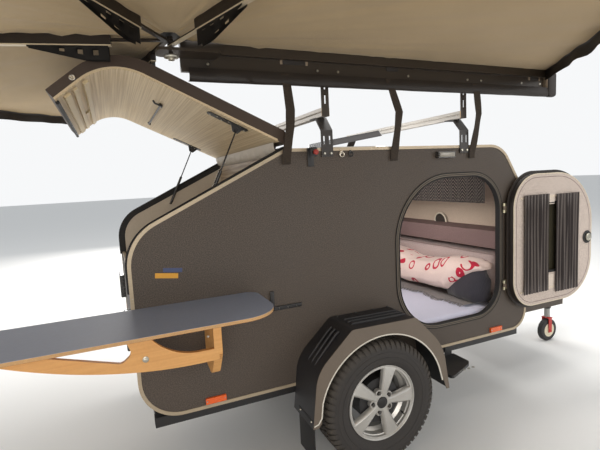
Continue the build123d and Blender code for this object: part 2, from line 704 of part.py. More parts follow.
for side_name, side in SIDES:
    angle = DOOR_ANGLES[side_name]
    inward = -side

    with BuildPart() as door_leaf:
        with BuildSketch(leaf_plane(side, angle, BLOCK_DEPTH)):
            rounded_outline(LEAF_CORNERS, LEAF_RADII, -DOOR_FLANGE_OVERLAP)
            window_shape(mode=Mode.SUBTRACT)
        extrude(amount=inward * DOOR_FLANGE_THICKNESS)
        with BuildSketch(leaf_plane(side, angle, FLANGE_DEPTH)):
            rounded_outline(LEAF_CORNERS, LEAF_RADII, DOOR_GAP)
            window_shape(mode=Mode.SUBTRACT)
        extrude(amount=inward * LEAF_THICKNESS)
        for hinge_height in DOOR_HINGE_HEIGHTS:
            with BuildSketch(leaf_plane(side, angle, 0)):
                with Locations((DOOR_HINGE_SETBACK / 2, hinge_height)):
                    Rectangle(DOOR_HINGE_SETBACK, 3 * DOOR_HINGE_RADIUS)
            extrude(amount=inward * BLOCK_DEPTH)
            axis_plane = leaf_plane(side, angle, 0)
            knuckle_plane = Plane(
                origin=axis_plane.origin + Vector(0, 0, hinge_height - 1.5 * DOOR_HINGE_RADIUS),
                z_dir=(0, 0, 1),
            )
            with BuildSketch(knuckle_plane):
                Circle(DOOR_HINGE_RADIUS)
            extrude(amount=3 * DOOR_HINGE_RADIUS)
            with BuildSketch(knuckle_plane):
                Circle(DOOR_HINGE_RADIUS / 2 + PIN_CLEARANCE)
            extrude(amount=3 * DOOR_HINGE_RADIUS, mode=Mode.SUBTRACT)
    door_leaf.part.label = f"door_{side_name}"
    export_step(door_leaf.part, f"parts/door_{side_name}.step")

    with BuildPart() as door_lining:
        with BuildSketch(leaf_plane(side, angle, FLANGE_DEPTH + LEAF_THICKNESS)):
            rounded_outline(LEAF_CORNERS, LEAF_RADII, 2 * DOOR_GAP)
            window_shape(-2 * DOOR_GAP, mode=Mode.SUBTRACT)
        extrude(amount=inward * DOOR_LINING_THICKNESS)
    door_lining.part.label = f"door_lining_{side_name}"
    export_step(door_lining.part, f"parts/door_lining_{side_name}.step")

    with BuildPart() as door_window:
        with BuildSketch(leaf_plane(side, angle, FLANGE_DEPTH + DOOR_FLANGE_THICKNESS)):
            window_shape()
        extrude(amount=inward * DOOR_FLANGE_THICKNESS)
    door_window.part.label = f"door_window_{side_name}"
    export_step(door_window.part, f"parts/door_window_{side_name}.step")

# Door hinges on the walls, a plate with two knuckles and the pin
HINGE_PLATE_WIDTH = 42
HINGE_PLATE_THICKNESS = 6
HINGE_HALF_HEIGHT = 32
with BuildPart() as door_hinges:
    for side_name, side in SIDES:
        axis_y = side * (HALF_WIDTH + DOOR_HINGE_STANDOFF)
        plate_ys = sorted((side * HALF_WIDTH, side * (HALF_WIDTH + HINGE_PLATE_THICKNESS)))
        web_ys = sorted((side * HALF_WIDTH, axis_y))
        for hinge_height in DOOR_HINGE_HEIGHTS:
            low = hinge_height - HINGE_HALF_HEIGHT
            high = hinge_height + HINGE_HALF_HEIGHT
            plate_start = HINGE_STATION + DOOR_HINGE_RADIUS + 2
            block((plate_start, plate_start + HINGE_PLATE_WIDTH), plate_ys, (low, high))
            post(HINGE_STATION, axis_y, DOOR_HINGE_RADIUS / 2, (low, high))
            for knuckle in (
                (low, hinge_height - 1.5 * DOOR_HINGE_RADIUS - 1),
                (hinge_height + 1.5 * DOOR_HINGE_RADIUS + 1, high),
            ):
                post(HINGE_STATION, axis_y, DOOR_HINGE_RADIUS, knuckle)
                block((HINGE_STATION, plate_start + HINGE_PLATE_THICKNESS), web_ys, knuckle)
door_hinges.part.label = "door_hinges"
export_step(door_hinges.part, "parts/door_hinges.step")

# Wheels. The section is drawn with the distance out from the centreline across and
# the radius up, and turned about the axle.
WHEEL_X = REAR_X + WHEEL_STATION
WHEEL_Z = GROUND_Z + WHEEL_RADIUS
TYRE_OUTER_Y = TYRE_INNER_Y + TYRE_WIDTH
RIM_EDGE = 26
SPOKE_FACE_Y = TYRE_OUTER_Y - 20
SPOKE_THICKNESS = 30
HUB_FACE_THICKNESS = 8
LIP_THICKNESS = 7
WELL_SETBACK = 50
WELL_SLOPE = 12
WHEEL_AXIS = Axis((WHEEL_X, 0, WHEEL_Z), (0, 1, 0))
TYRE_SEAT_RADIUS = RIM_SEAT_RADIUS + 0.3
barrel_bore = RIM_SEAT_RADIUS - RIM_WALL


def wheel_section(side):
    """The plane of a wheel's section, outward across and radius up."""
    return Plane(origin=(WHEEL_X, 0, WHEEL_Z), x_dir=(0, side, 0), z_dir=(side, 0, 0))


def wheel_face(side, out):
    """A plane square to the axle, this far out from the centreline, facing outward."""
    return Plane(origin=(WHEEL_X, side * out, WHEEL_Z), x_dir=(side, 0, 0), z_dir=(0, side, 0))


for side_name, side in SIDES:
    with BuildPart() as tyre:
        with BuildSketch(wheel_section(side)):
            with BuildLine():
                FilletPolyline(
                    (TYRE_INNER_Y + RIM_EDGE, TYRE_SEAT_RADIUS),
                    (TYRE_INNER_Y + RIM_EDGE, TYRE_SEAT_RADIUS + 22),
                    (TYRE_INNER_Y, TYRE_SEAT_RADIUS + 50),
                    (TYRE_INNER_Y, WHEEL_RADIUS - 50),
                    (TYRE_INNER_Y + 30, WHEEL_RADIUS),
                    (TYRE_OUTER_Y - 30, WHEEL_RADIUS),
                    (TYRE_OUTER_Y, WHEEL_RADIUS - 50),
                    (TYRE_OUTER_Y, TYRE_SEAT_RADIUS + 50),
                    (TYRE_OUTER_Y - RIM_EDGE, TYRE_SEAT_RADIUS + 22),
                    (TYRE_OUTER_Y - RIM_EDGE, TYRE_SEAT_RADIUS),
                    radius=[0, 4, 40, 40, 14, 14, 40, 40, 4, 0],
                    close=True,
                )
            make_face()
            with BuildLine():
                FilletPolyline(
                    (TYRE_INNER_Y + RIM_EDGE + 16, TYRE_SEAT_RADIUS),
                    (TYRE_INNER_Y + RIM_EDGE + 16, TYRE_SEAT_RADIUS + 24),
                    (TYRE_INNER_Y + TYRE_WALL, TYRE_SEAT_RADIUS + 54),
                    (TYRE_INNER_Y + TYRE_WALL, WHEEL_RADIUS - 50),
                    (TYRE_INNER_Y + 38, WHEEL_RADIUS - TYRE_CROWN),
                    (TYRE_OUTER_Y - 38, WHEEL_RADIUS - TYRE_CROWN),
                    (TYRE_OUTER_Y - TYRE_WALL, WHEEL_RADIUS - 50),
                    (TYRE_OUTER_Y - TYRE_WALL, TYRE_SEAT_RADIUS + 54),
                    (TYRE_OUTER_Y - RIM_EDGE - 16, TYRE_SEAT_RADIUS + 24),
                    (TYRE_OUTER_Y - RIM_EDGE - 16, TYRE_SEAT_RADIUS),
                    radius=[0, 4, 30, 30, 10, 10, 30, 30, 4, 0],
                    close=True,
                )
            make_face(mode=Mode.SUBTRACT)
        revolve(axis=WHEEL_AXIS)
    tyre.part.label = f"tyre_{side_name}"
    export_step(tyre.part, f"parts/tyre_{side_name}.step")

    with BuildPart() as rim:
        lip_in = TYRE_INNER_Y + RIM_EDGE
        lip_out = TYRE_OUTER_Y - RIM_EDGE
        well_in = lip_in + WELL_SETBACK
        well_out = lip_out - WELL_SETBACK
        with BuildSketch(wheel_section(side)):
            with BuildLine():
                Polyline(
                    (lip_in - 1 - LIP_THICKNESS, RIM_LIP_RADIUS),
                    (lip_in - 1, RIM_LIP_RADIUS),
                    (lip_in - 1, RIM_SEAT_RADIUS),
                    (well_in, RIM_SEAT_RADIUS),
                    (well_in + WELL_SLOPE, RIM_SEAT_RADIUS - WELL_DEPTH),
                    (well_out - WELL_SLOPE, RIM_SEAT_RADIUS - WELL_DEPTH),
                    (well_out, RIM_SEAT_RADIUS),
                    (lip_out + 1, RIM_SEAT_RADIUS),
                    (lip_out + 1, RIM_LIP_RADIUS),
                    (lip_out + 1 + LIP_THICKNESS, RIM_LIP_RADIUS),
                    (lip_out + 1 + LIP_THICKNESS, barrel_bore),
                    (well_out + RIM_WALL / 2, barrel_bore),
                    (well_out + RIM_WALL / 2 - WELL_SLOPE, barrel_bore - WELL_DEPTH),
                    (well_in - RIM_WALL / 2 + WELL_SLOPE, barrel_bore - WELL_DEPTH),
                    (well_in - RIM_WALL / 2, barrel_bore),
                    (lip_in - 1 - LIP_THICKNESS, barrel_bore),
                    close=True,
                )
            make_face()
        revolve(axis=WHEEL_AXIS)
        spoke_back = SPOKE_FACE_Y - SPOKE_THICKNESS
        for reach, low in ((barrel_bore + 1, spoke_back), (RIM_LIP_RADIUS - LIP_THICKNESS, lip_out + 1)):
            with BuildSketch(wheel_face(side, low)):
                Circle(HUB_RADIUS)
                with PolarLocations(BOLT_CIRCLE_DIAMETER / 2, SPOKE_COUNT, start_angle=126):
                    Circle(LOBE_RADIUS)
                with PolarLocations(0, SPOKE_COUNT, start_angle=90):
                    Polygon(
                        (0, -SPOKE_ROOT_WIDTH / 2),
                        (RIM_LIP_RADIUS, -SPOKE_TIP_WIDTH / 2),
                        (RIM_LIP_RADIUS, SPOKE_TIP_WIDTH / 2),
                        (0, SPOKE_ROOT_WIDTH / 2),
                        align=None,
                    )
                Circle(reach, mode=Mode.INTERSECT)
            extrude(amount=SPOKE_FACE_Y - low)
        with BuildSketch(wheel_face(side, spoke_back)):
            Circle(HUB_BORE_RADIUS)
        extrude(amount=SPOKE_THICKNESS - HUB_FACE_THICKNESS, mode=Mode.SUBTRACT)
        with BuildSketch(wheel_face(side, spoke_back)):
            with PolarLocations(BOLT_CIRCLE_DIAMETER / 2, SPOKE_COUNT, start_angle=126):
                Circle(BOLT_HOLE_RADIUS)
        extrude(amount=SPOKE_THICKNESS, mode=Mode.SUBTRACT)
    rim.part.label = f"rim_{side_name}"
    export_step(rim.part, f"parts/rim_{side_name}.step")

# Torsion axle. A square tube under the floor, a trailing arm and a stub at each end.
AXLE_TUBE_HEIGHT = UNDERSIDE_HEIGHT - RAIL_SIZE - AXLE_TUBE_SIZE / 2
ARM_THICKNESS = 15
ARM_INNER_Y = HALF_WIDTH + TRIM_THICKNESS + 1
ARM_END_RADIUS = 42
STUB_RADIUS = HUB_BORE_RADIUS - STUB_CLEARANCE
STUB_END_Y = SPOKE_FACE_Y - 10
with BuildPart() as axle:
    block(
        (AXLE_TUBE_STATION - AXLE_TUBE_SIZE / 2, AXLE_TUBE_STATION + AXLE_TUBE_SIZE / 2),
        (-ARM_INNER_Y, ARM_INNER_Y),
        (AXLE_TUBE_HEIGHT - AXLE_TUBE_SIZE / 2, AXLE_TUBE_HEIGHT + AXLE_TUBE_SIZE / 2),
    )
    for side_name, side in SIDES:
        with BuildSketch(side_plane(side * ARM_INNER_Y)):
            with Locations((WHEEL_STATION, WHEEL_RADIUS), (AXLE_TUBE_STATION, AXLE_TUBE_HEIGHT)):
                Circle(ARM_END_RADIUS)
            make_hull()
        extrude(amount=-side * ARM_THICKNESS)
        stub_ys = sorted((side * ARM_INNER_Y, side * STUB_END_Y))
        cross_rod(WHEEL_STATION, WHEEL_RADIUS, STUB_RADIUS, stub_ys)
        drum_ys = sorted((side * (TYRE_INNER_Y + 5), side * (SPOKE_FACE_Y - SPOKE_THICKNESS - 8)))
        cross_rod(WHEEL_STATION, WHEEL_RADIUS, DRUM_RADIUS, drum_ys)
axle.part.label = "torsion_axle"
export_step(axle.part, "parts/torsion_axle.step")

# Fenders, moulded skins with a deep face cut to a round arch over the tread
def about_axle(angle, gap):
    """A point at this angle about the axle, this far beyond the tread."""
    reach = WHEEL_RADIUS + gap
    return (
        WHEEL_STATION + reach * cos(radians(angle)),
        WHEEL_RADIUS + reach * sin(radians(angle)),
    )


def fender_crown(inset=0):
    """The fender's outline over the wheel, from its front foot to its rear foot."""
    corners = [about_axle(angle, gap - inset) for angle, gap in FENDER_CORNERS]
    return FilletPolyline(*corners, radius=list(FENDER_CORNER_RADII))


front_foot = about_axle(*FENDER_CORNERS[0])
rear_foot = about_axle(*FENDER_CORNERS[-1])
arch_front = about_axle(ARCH_FRONT_ANGLE, ARCH_GAP)
arch_rear = about_axle(ARCH_REAR_ANGLE, ARCH_GAP)
for side_name, side in SIDES:
    with BuildPart() as fender:
        with BuildSketch(side_plane(side * HALF_WIDTH)):
            with BuildLine():
                fender_crown()
                Line(front_foot, (front_foot[0] - FENDER_FOOT_WIDTH, front_foot[1]))
                Line((front_foot[0] - FENDER_FOOT_WIDTH, front_foot[1]), arch_front)
                ThreePointArc(arch_front, about_axle(90, ARCH_GAP), arch_rear)
                Polyline(
                    arch_rear,
                    (arch_rear[0] - FENDER_FOOT_WIDTH / 2, rear_foot[1] + FENDER_FOOT_WIDTH),
                    (rear_foot[0] + 1.4 * FENDER_FOOT_WIDTH, rear_foot[1]),
                    rear_foot,
                )
            make_face()
        extrude(amount=-side * FENDER_WIDTH)
        with BuildSketch(side_plane(side * HALF_WIDTH)):
            with BuildLine():
                pocket = fender_crown(FENDER_CROWN_SKIN)
                Polyline(pocket @ 0, ((pocket @ 0).X, 0), ((pocket @ 1).X, 0), pocket @ 1)
            make_face()
        extrude(amount=-side * (FENDER_WIDTH - FENDER_SKIN), mode=Mode.SUBTRACT)
        notch_ys = sorted((side * HALF_WIDTH, side * (HALF_WIDTH + TRIM_THICKNESS + 0.3)))
        block(
            (rear_foot[0] - FENDER_FOOT_WIDTH, front_foot[0] + FENDER_FOOT_WIDTH),
            notch_ys,
            (UNDERSIDE_HEIGHT - TRIM_THICKNESS - 1, UNDERSIDE_HEIGHT + TRIM_FACE_WIDTH + 1),
            mode=Mode.SUBTRACT,
        )
    fender.part.label = f"fender_{side_name}"
    export_step(fender.part, f"parts/fender_{side_name}.step")

# Chassis, square rails under the floor with cross members, two drawbar rails that run
# together to the coupling and, beside one of them, the sleeve of the jockey wheel
SLEEVE_RADIUS = JOCKEY_TUBE_RADIUS + JOCKEY_SLEEVE_CLEARANCE + JOCKEY_SLEEVE_WALL
drawbar_slope = (DRAWBAR_REAR_Y - DRAWBAR_FRONT_Y) / (DRAWBAR_FRONT_STATION - DRAWBAR_REAR_STATION)
rail_y_at_jockey = DRAWBAR_FRONT_Y + drawbar_slope * (DRAWBAR_FRONT_STATION - JOCKEY_STATION)
RAIL_LOW = UNDERSIDE_HEIGHT - RAIL_SIZE
SLEEVE_LOW = RAIL_LOW - 105
SLEEVE_HIGH = RAIL_LOW + 155
with BuildPart() as chassis:
    for side in (-1, 1):
        block(
            (RAIL_END_INSET, BODY_LENGTH - RAIL_END_INSET),
            (side * RAIL_Y - RAIL_SIZE / 2, side * RAIL_Y + RAIL_SIZE / 2),
            (RAIL_LOW, UNDERSIDE_HEIGHT),
        )
        with BuildSketch(level_plane(RAIL_LOW)):
            Polygon(
                (DRAWBAR_REAR_STATION, side * (DRAWBAR_REAR_Y - RAIL_SIZE / 2)),
                (DRAWBAR_REAR_STATION, side * (DRAWBAR_REAR_Y + RAIL_SIZE / 2)),
                (DRAWBAR_FRONT_STATION, side * (DRAWBAR_FRONT_Y + RAIL_SIZE / 2)),
                (DRAWBAR_FRONT_STATION, side * (DRAWBAR_FRONT_Y - RAIL_SIZE / 2)),
                align=None,
            )
        extrude(amount=RAIL_SIZE)
    for station in CROSS_STATIONS:
        block(
            (station - RAIL_SIZE / 2, station + RAIL_SIZE / 2),
            (-RAIL_Y, RAIL_Y),
            (RAIL_LOW, UNDERSIDE_HEIGHT),
        )
    tube_heights = (RAIL_LOW + RAIL_WALL, UNDERSIDE_HEIGHT - RAIL_WALL)
    tube_half = RAIL_SIZE / 2 - RAIL_WALL
    for side in (-1, 1):
        block(
            (RAIL_END_INSET, BODY_LENGTH - RAIL_END_INSET),
            (side * RAIL_Y - tube_half, side * RAIL_Y + tube_half),
            tube_heights,
            mode=Mode.SUBTRACT,
        )
        with BuildSketch(level_plane(tube_heights[0])):
            Polygon(
                (DRAWBAR_REAR_STATION, side * (DRAWBAR_REAR_Y - tube_half)),
                (DRAWBAR_REAR_STATION, side * (DRAWBAR_REAR_Y + tube_half)),
                (DRAWBAR_FRONT_STATION, side * (DRAWBAR_FRONT_Y + tube_half)),
                (DRAWBAR_FRONT_STATION, side * (DRAWBAR_FRONT_Y - tube_half)),
                align=None,
            )
        extrude(amount=2 * tube_half, mode=Mode.SUBTRACT)
    for station in CROSS_STATIONS:
        block(
            (station - tube_half, station + tube_half), (-RAIL_Y, RAIL_Y), tube_heights, Mode.SUBTRACT
        )
    block(
        (JOCKEY_STATION - 30, JOCKEY_STATION + 30),
        (JOCKEY_Y + 10, -rail_y_at_jockey - tube_half - 1),
        (RAIL_LOW, UNDERSIDE_HEIGHT),
    )
    post(JOCKEY_STATION, JOCKEY_Y, SLEEVE_RADIUS, (SLEEVE_LOW, SLEEVE_HIGH))
    sleeve_bore = JOCKEY_TUBE_RADIUS + JOCKEY_SLEEVE_CLEARANCE
    post(JOCKEY_STATION, JOCKEY_Y, sleeve_bore, (SLEEVE_LOW, SLEEVE_HIGH), Mode.SUBTRACT)
chassis.part.label = "chassis_frame"
export_step(chassis.part, "parts/chassis_frame.step")

# Coupling, a pressed head over the ball with its neck between the drawbar rails
HEAD_RADIUS = 38
NECK_HALF_WIDTH = 27
with BuildPart() as coupling:
    with BuildSketch(Plane.XY.offset(-BALL_SOCKET_DEPTH / 2)):
        Circle(HEAD_RADIUS)
        with Locations((-(BALL_STATION - DRAWBAR_FRONT_STATION) / 2, 0)):
            Rectangle(BALL_STATION - DRAWBAR_FRONT_STATION, 2 * NECK_HALF_WIDTH)
    extrude(amount=BALL_SOCKET_DEPTH / 2 + HEAD_RADIUS + 4)
    fillet(coupling.faces().sort_by(Axis.Z)[-1].edges(), 12)
    block(
        (DRAWBAR_FRONT_STATION, DRAWBAR_FRONT_STATION + 12),
        (-DRAWBAR_FRONT_Y - RAIL_SIZE / 2, DRAWBAR_FRONT_Y + RAIL_SIZE / 2),
        (RAIL_LOW, UNDERSIDE_HEIGHT),
    )
    with BuildSketch(Plane.XY.offset(-BALL_SOCKET_DEPTH / 2)):
        Circle(BALL_SOCKET_RADIUS)
    extrude(amount=BALL_SOCKET_DEPTH, mode=Mode.SUBTRACT)
    with Locations((0, 0, BALL_SOCKET_DEPTH / 2)):
        Sphere(BALL_SOCKET_RADIUS, mode=Mode.SUBTRACT)
    with BuildSketch(side_plane(10)):
        with BuildLine():
            FilletPolyline(
                (BALL_STATION - 150, BALL_HEIGHT + 40),
                (BALL_STATION - 20, BALL_HEIGHT + 40),
                (BALL_STATION - 20, BALL_HEIGHT + 62),
                (BALL_STATION - 150, BALL_HEIGHT + 82),
                radius=[6, 14, 6, 6],
                close=True,
            )
        make_face()
    extrude(amount=20)
coupling.part.label = "coupling_head"
export_step(coupling.part, "parts/coupling_head.step")

# Jockey wheel, a leg that swivels in its sleeve, with a fork and a small wheel
FORK_TOP = 2 * JOCKEY_WHEEL_RADIUS + 12
FORK_GAP = JOCKEY_WHEEL_WIDTH + 12
with BuildPart() as jockey_leg:
    post(JOCKEY_STATION, JOCKEY_Y, JOCKEY_TUBE_RADIUS, (FORK_TOP, SLEEVE_HIGH + 60))
    outer_half = FORK_GAP / 2 + JOCKEY_FORK_THICKNESS
    block(
        (JOCKEY_STATION - 26, JOCKEY_STATION + 26),
        (JOCKEY_Y - outer_half, JOCKEY_Y + outer_half),
        (FORK_TOP, FORK_TOP + JOCKEY_FORK_THICKNESS),
    )
    for end in (-1, 1):
        cheek = JOCKEY_Y + end * outer_half
        cheek_ys = sorted((cheek, cheek - end * JOCKEY_FORK_THICKNESS))
        block(
            (JOCKEY_STATION - 20, JOCKEY_STATION + 20),
            cheek_ys,
            (JOCKEY_WHEEL_RADIUS - 20, FORK_TOP + JOCKEY_FORK_THICKNESS),
        )
    axle_ys = (JOCKEY_Y - outer_half - 4, JOCKEY_Y + outer_half + 4)
    cross_rod(JOCKEY_STATION, JOCKEY_WHEEL_RADIUS, JOCKEY_AXLE_RADIUS, axle_ys)
    post(JOCKEY_STATION, JOCKEY_Y, 8, (SLEEVE_HIGH + 60, SLEEVE_HIGH + 85))
    block(
        (JOCKEY_STATION - 10, JOCKEY_STATION + 130),
        (JOCKEY_Y - 6, JOCKEY_Y + 6),
        (SLEEVE_HIGH + 78, SLEEVE_HIGH + 88),
    )
    post(JOCKEY_STATION + 118, JOCKEY_Y, 11, (SLEEVE_HIGH + 88, SLEEVE_HIGH + 170))
jockey_leg.part.label = "jockey_leg"
export_step(jockey_leg.part, "parts/jockey_leg.step")

with BuildPart() as jockey_wheel:
    half = JOCKEY_WHEEL_WIDTH / 2
    hub_ys = (JOCKEY_Y - half - 4, JOCKEY_Y + half + 4)
    hub_bore = JOCKEY_AXLE_RADIUS + STUB_CLEARANCE
    cross_rod(JOCKEY_STATION, JOCKEY_WHEEL_RADIUS, JOCKEY_WHEEL_RADIUS, (JOCKEY_Y - half, JOCKEY_Y + half))
    fillet(jockey_wheel.edges().filter_by(GeomType.CIRCLE), 14)
    cross_rod(JOCKEY_STATION, JOCKEY_WHEEL_RADIUS, 3 * JOCKEY_AXLE_RADIUS, hub_ys)
    cross_rod(JOCKEY_STATION, JOCKEY_WHEEL_RADIUS, hub_bore, hub_ys, Mode.SUBTRACT)
jockey_wheel.part.label = "jockey_wheel"
export_step(jockey_wheel.part, "parts/jockey_wheel.step")

# Tongue box on the drawbar, open topped, under a lid hinged at its rear edge
BOX_BASE = UNDERSIDE_HEIGHT
LID_GAP = 5
LID_PIN_RADIUS = 2.5
LID_OVERLAP = 12
LID_AXIS_STATION = BOX_REAR_STATION - 8
LID_AXIS_HEIGHT = BOX_RIM_HEIGHT + LID_GAP
LID_HINGE_YS = (-BOX_HALF_WIDTH * 0.6, BOX_HALF_WIDTH * 0.6)

with BuildPart() as tongue_box:
    block(
        (BOX_REAR_STATION, BOX_FRONT_STATION), (-BOX_HALF_WIDTH, BOX_HALF_WIDTH), (BOX_BASE, BOX_RIM_HEIGHT)
    )
    block(
        (BOX_REAR_STATION + BOX_WALL, BOX_FRONT_STATION - BOX_WALL),
        (-BOX_HALF_WIDTH + BOX_WALL, BOX_HALF_WIDTH - BOX_WALL),
        (BOX_BASE + BOX_WALL, BOX_RIM_HEIGHT),
        mode=Mode.SUBTRACT,
    )
    for y in LID_HINGE_YS:
        cross_rod(LID_AXIS_STATION, LID_AXIS_HEIGHT, LID_PIN_RADIUS, (y - 40, y + 40))
        for knuckle_ys in ((y - 40, y - 21), (y + 21, y + 40)):
            cross_rod(LID_AXIS_STATION, LID_AXIS_HEIGHT, 2 * LID_PIN_RADIUS, knuckle_ys)
            block(
                (LID_AXIS_STATION - 2 * LID_PIN_RADIUS, BOX_REAR_STATION),
                knuckle_ys,
                (LID_AXIS_HEIGHT - 45, LID_AXIS_HEIGHT),
            )
tongue_box.part.label = "tongue_box"
export_step(tongue_box.part, "parts/tongue_box.step")

with BuildPart() as tongue_lid:
    lid_low = BOX_RIM_HEIGHT + LID_GAP
    block(
        (BOX_REAR_STATION, BOX_FRONT_STATION + LID_OVERLAP),
        (-BOX_HALF_WIDTH - LID_OVERLAP, BOX_HALF_WIDTH + LID_OVERLAP),
        (lid_low, lid_low + BOX_LID_DEPTH),
    )
    top_edges = tongue_lid.edges().group_by(Axis.Z)[-1]
    chamfer(top_edges, 14)
    block(
        (BOX_REAR_STATION + BOX_WALL, BOX_FRONT_STATION + LID_OVERLAP - BOX_WALL),
        (-BOX_HALF_WIDTH - LID_OVERLAP + BOX_WALL, BOX_HALF_WIDTH + LID_OVERLAP - BOX_WALL),
        (lid_low, lid_low + BOX_LID_DEPTH - 14 - BOX_WALL),
        mode=Mode.SUBTRACT,
    )
    for y in LID_HINGE_YS:
        knuckle_ys = (y - 20, y + 20)
        lid_bore = LID_PIN_RADIUS + PIN_CLEARANCE
        block((LID_AXIS_STATION, BOX_REAR_STATION + BOX_WALL), knuckle_ys, (lid_low, lid_low + 5))
        cross_rod(LID_AXIS_STATION, LID_AXIS_HEIGHT, 2 * LID_PIN_RADIUS, knuckle_ys)
        cross_rod(LID_AXIS_STATION, LID_AXIS_HEIGHT, lid_bore, knuckle_ys, Mode.SUBTRACT)
tongue_lid.part.label = "tongue_box_lid"
export_step(tongue_lid.part, "parts/tongue_box_lid.step")

# Roof rack, two slotted crossbars on bent feet bolted to the wall tops
CROSSBAR_HALF = CROSSBAR_SIZE / 2
with BuildPart() as crossbars:
    for station in CROSSBAR_STATIONS:
        with BuildSketch(side_plane(HALF_WIDTH)):
            with Locations((station, CROSSBAR_HEIGHT)):
                Rectangle(CROSSBAR_SIZE, CROSSBAR_SIZE)
                with PolarLocations(CROSSBAR_HALF - CROSSBAR_SLOT / 2, 4):
                    Rectangle(CROSSBAR_SLOT, CROSSBAR_SLOT, mode=Mode.SUBTRACT)
        extrude(amount=BODY_WIDTH)
crossbars.part.label = "rack_crossbars"
export_step(crossbars.part, "parts/rack_crossbars.step")

FOOT_BEND_HEIGHT = ROOF_HEIGHT + RACK_FOOT_BEND_RISE
FOOT_SLOT_PITCH = 34
FOOT_SLOT_WIDTH = 10
FOOT_SLOT_LENGTH = 45
FOOT_SLOT_RISE = 20
with BuildPart() as rack_feet:
    for station in CROSSBAR_STATIONS:
        for side in (-1, 1):
            base_y = HALF_WIDTH + TRIM_THICKNESS
            bar_low = CROSSBAR_HEIGHT - CROSSBAR_HALF
            inner_line = [
                (base_y, ROOF_HEIGHT - RACK_FOOT_DROP),
                (base_y, FOOT_BEND_HEIGHT),
                (base_y - 62, bar_low - RACK_FOOT_THICKNESS),
                (base_y - 130, bar_low - RACK_FOOT_THICKNESS),
            ]
            outer_line = [
                (base_y - 130, bar_low),
                (base_y - 59, bar_low),
                (base_y + RACK_FOOT_THICKNESS, FOOT_BEND_HEIGHT + 3),
                (base_y + RACK_FOOT_THICKNESS, ROOF_HEIGHT - RACK_FOOT_DROP),
            ]
            with BuildSketch(cross_plane(station - RACK_FOOT_WIDTH / 2)):
                with BuildLine():
                    Polyline(*[(side * y, height) for y, height in inner_line + outer_line], close=True)
                make_face()
            extrude(amount=RACK_FOOT_WIDTH)
            slot_ys = sorted((side * (base_y - 1), side * (base_y + RACK_FOOT_THICKNESS + 1)))
            for offset_station in (-FOOT_SLOT_PITCH / 2, FOOT_SLOT_PITCH / 2):
                slot_rear = station + offset_station - FOOT_SLOT_WIDTH / 2
                block(
                    (slot_rear, slot_rear + FOOT_SLOT_WIDTH),
                    slot_ys,
                    (ROOF_HEIGHT + FOOT_SLOT_RISE, ROOF_HEIGHT + FOOT_SLOT_RISE + FOOT_SLOT_LENGTH),
                    mode=Mode.SUBTRACT,
                )
rack_feet.part.label = "rack_feet"
export_step(rack_feet.part, "parts/rack_feet.step")

# Roof vent, a square frame and a smoked dome hinged at its rear edge
vent_half = VENT_SIZE / 2
VENT_AXIS_STATION = VENT_STATION - vent_half - 8
VENT_AXIS_HEIGHT = ROOF_HEIGHT + VENT_FRAME_HEIGHT + 6
VENT_PIN_RADIUS = 2.5
VENT_HINGE_YS = (-120, 120)
with BuildPart() as vent_frame:
    block(
        (VENT_STATION - vent_half, VENT_STATION + vent_half),
        (-vent_half, vent_half),
        (ROOF_HEIGHT, ROOF_HEIGHT + VENT_FRAME_HEIGHT),
    )
    block(
        (VENT_STATION - vent_hole, VENT_STATION + vent_hole),
        (-vent_hole, vent_hole),
        (ROOF_HEIGHT, ROOF_HEIGHT + VENT_FRAME_HEIGHT),
        mode=Mode.SUBTRACT,
    )
    for y in VENT_HINGE_YS:
        cross_rod(VENT_AXIS_STATION, VENT_AXIS_HEIGHT, VENT_PIN_RADIUS, (y - 30, y + 30))
        for knuckle_ys in ((y - 30, y - 16), (y + 16, y + 30)):
            cross_rod(VENT_AXIS_STATION, VENT_AXIS_HEIGHT, 2 * VENT_PIN_RADIUS, knuckle_ys)
            block(
                (VENT_AXIS_STATION - 2 * VENT_PIN_RADIUS, VENT_STATION - vent_half),
                knuckle_ys,
                (VENT_AXIS_HEIGHT - 25, VENT_AXIS_HEIGHT),
            )
vent_frame.part.label = "roof_vent_frame"
export_step(vent_frame.part, "parts/roof_vent_frame.step")

vent_turn = radians(VENT_OPEN_ANGLE)
vent_plane = Plane(
    origin=(REAR_X + VENT_AXIS_STATION, 0, GROUND_Z + VENT_AXIS_HEIGHT),
    x_dir=(cos(vent_turn), 0, sin(vent_turn)),
    z_dir=(-sin(vent_turn), 0, cos(vent_turn)),
)
with BuildPart() as vent_lid:
    with BuildSketch(vent_plane) as lid_foot:
        with Locations((VENT_SIZE / 2 + 8, 0)):
            RectangleRounded(VENT_SIZE, VENT_SIZE, 30)
    extrude(amount=VENT_DOME_HEIGHT, taper=25)
    lid_mouth = vent_lid.faces().sort_by(Axis((0, 0, 0), vent_plane.z_dir))[0]
    offset(amount=-VENT_SKIN, openings=lid_mouth)
    with BuildSketch(vent_plane):
        for y in VENT_HINGE_YS:
            with Locations((6, y)):
                Rectangle(12, 28)
    extrude(amount=VENT_SKIN)
    for y in VENT_HINGE_YS:
        lid_knuckle_ys = (y - 14, y + 14)
        cross_rod(VENT_AXIS_STATION, VENT_AXIS_HEIGHT, 2 * VENT_PIN_RADIUS, lid_knuckle_ys)
        cross_rod(
            VENT_AXIS_STATION,
            VENT_AXIS_HEIGHT,
            VENT_PIN_RADIUS + PIN_CLEARANCE,
            lid_knuckle_ys,
            mode=Mode.SUBTRACT,
        )
vent_lid.part.label = "roof_vent_lid"
export_step(vent_lid.part, "parts/roof_vent_lid.step")

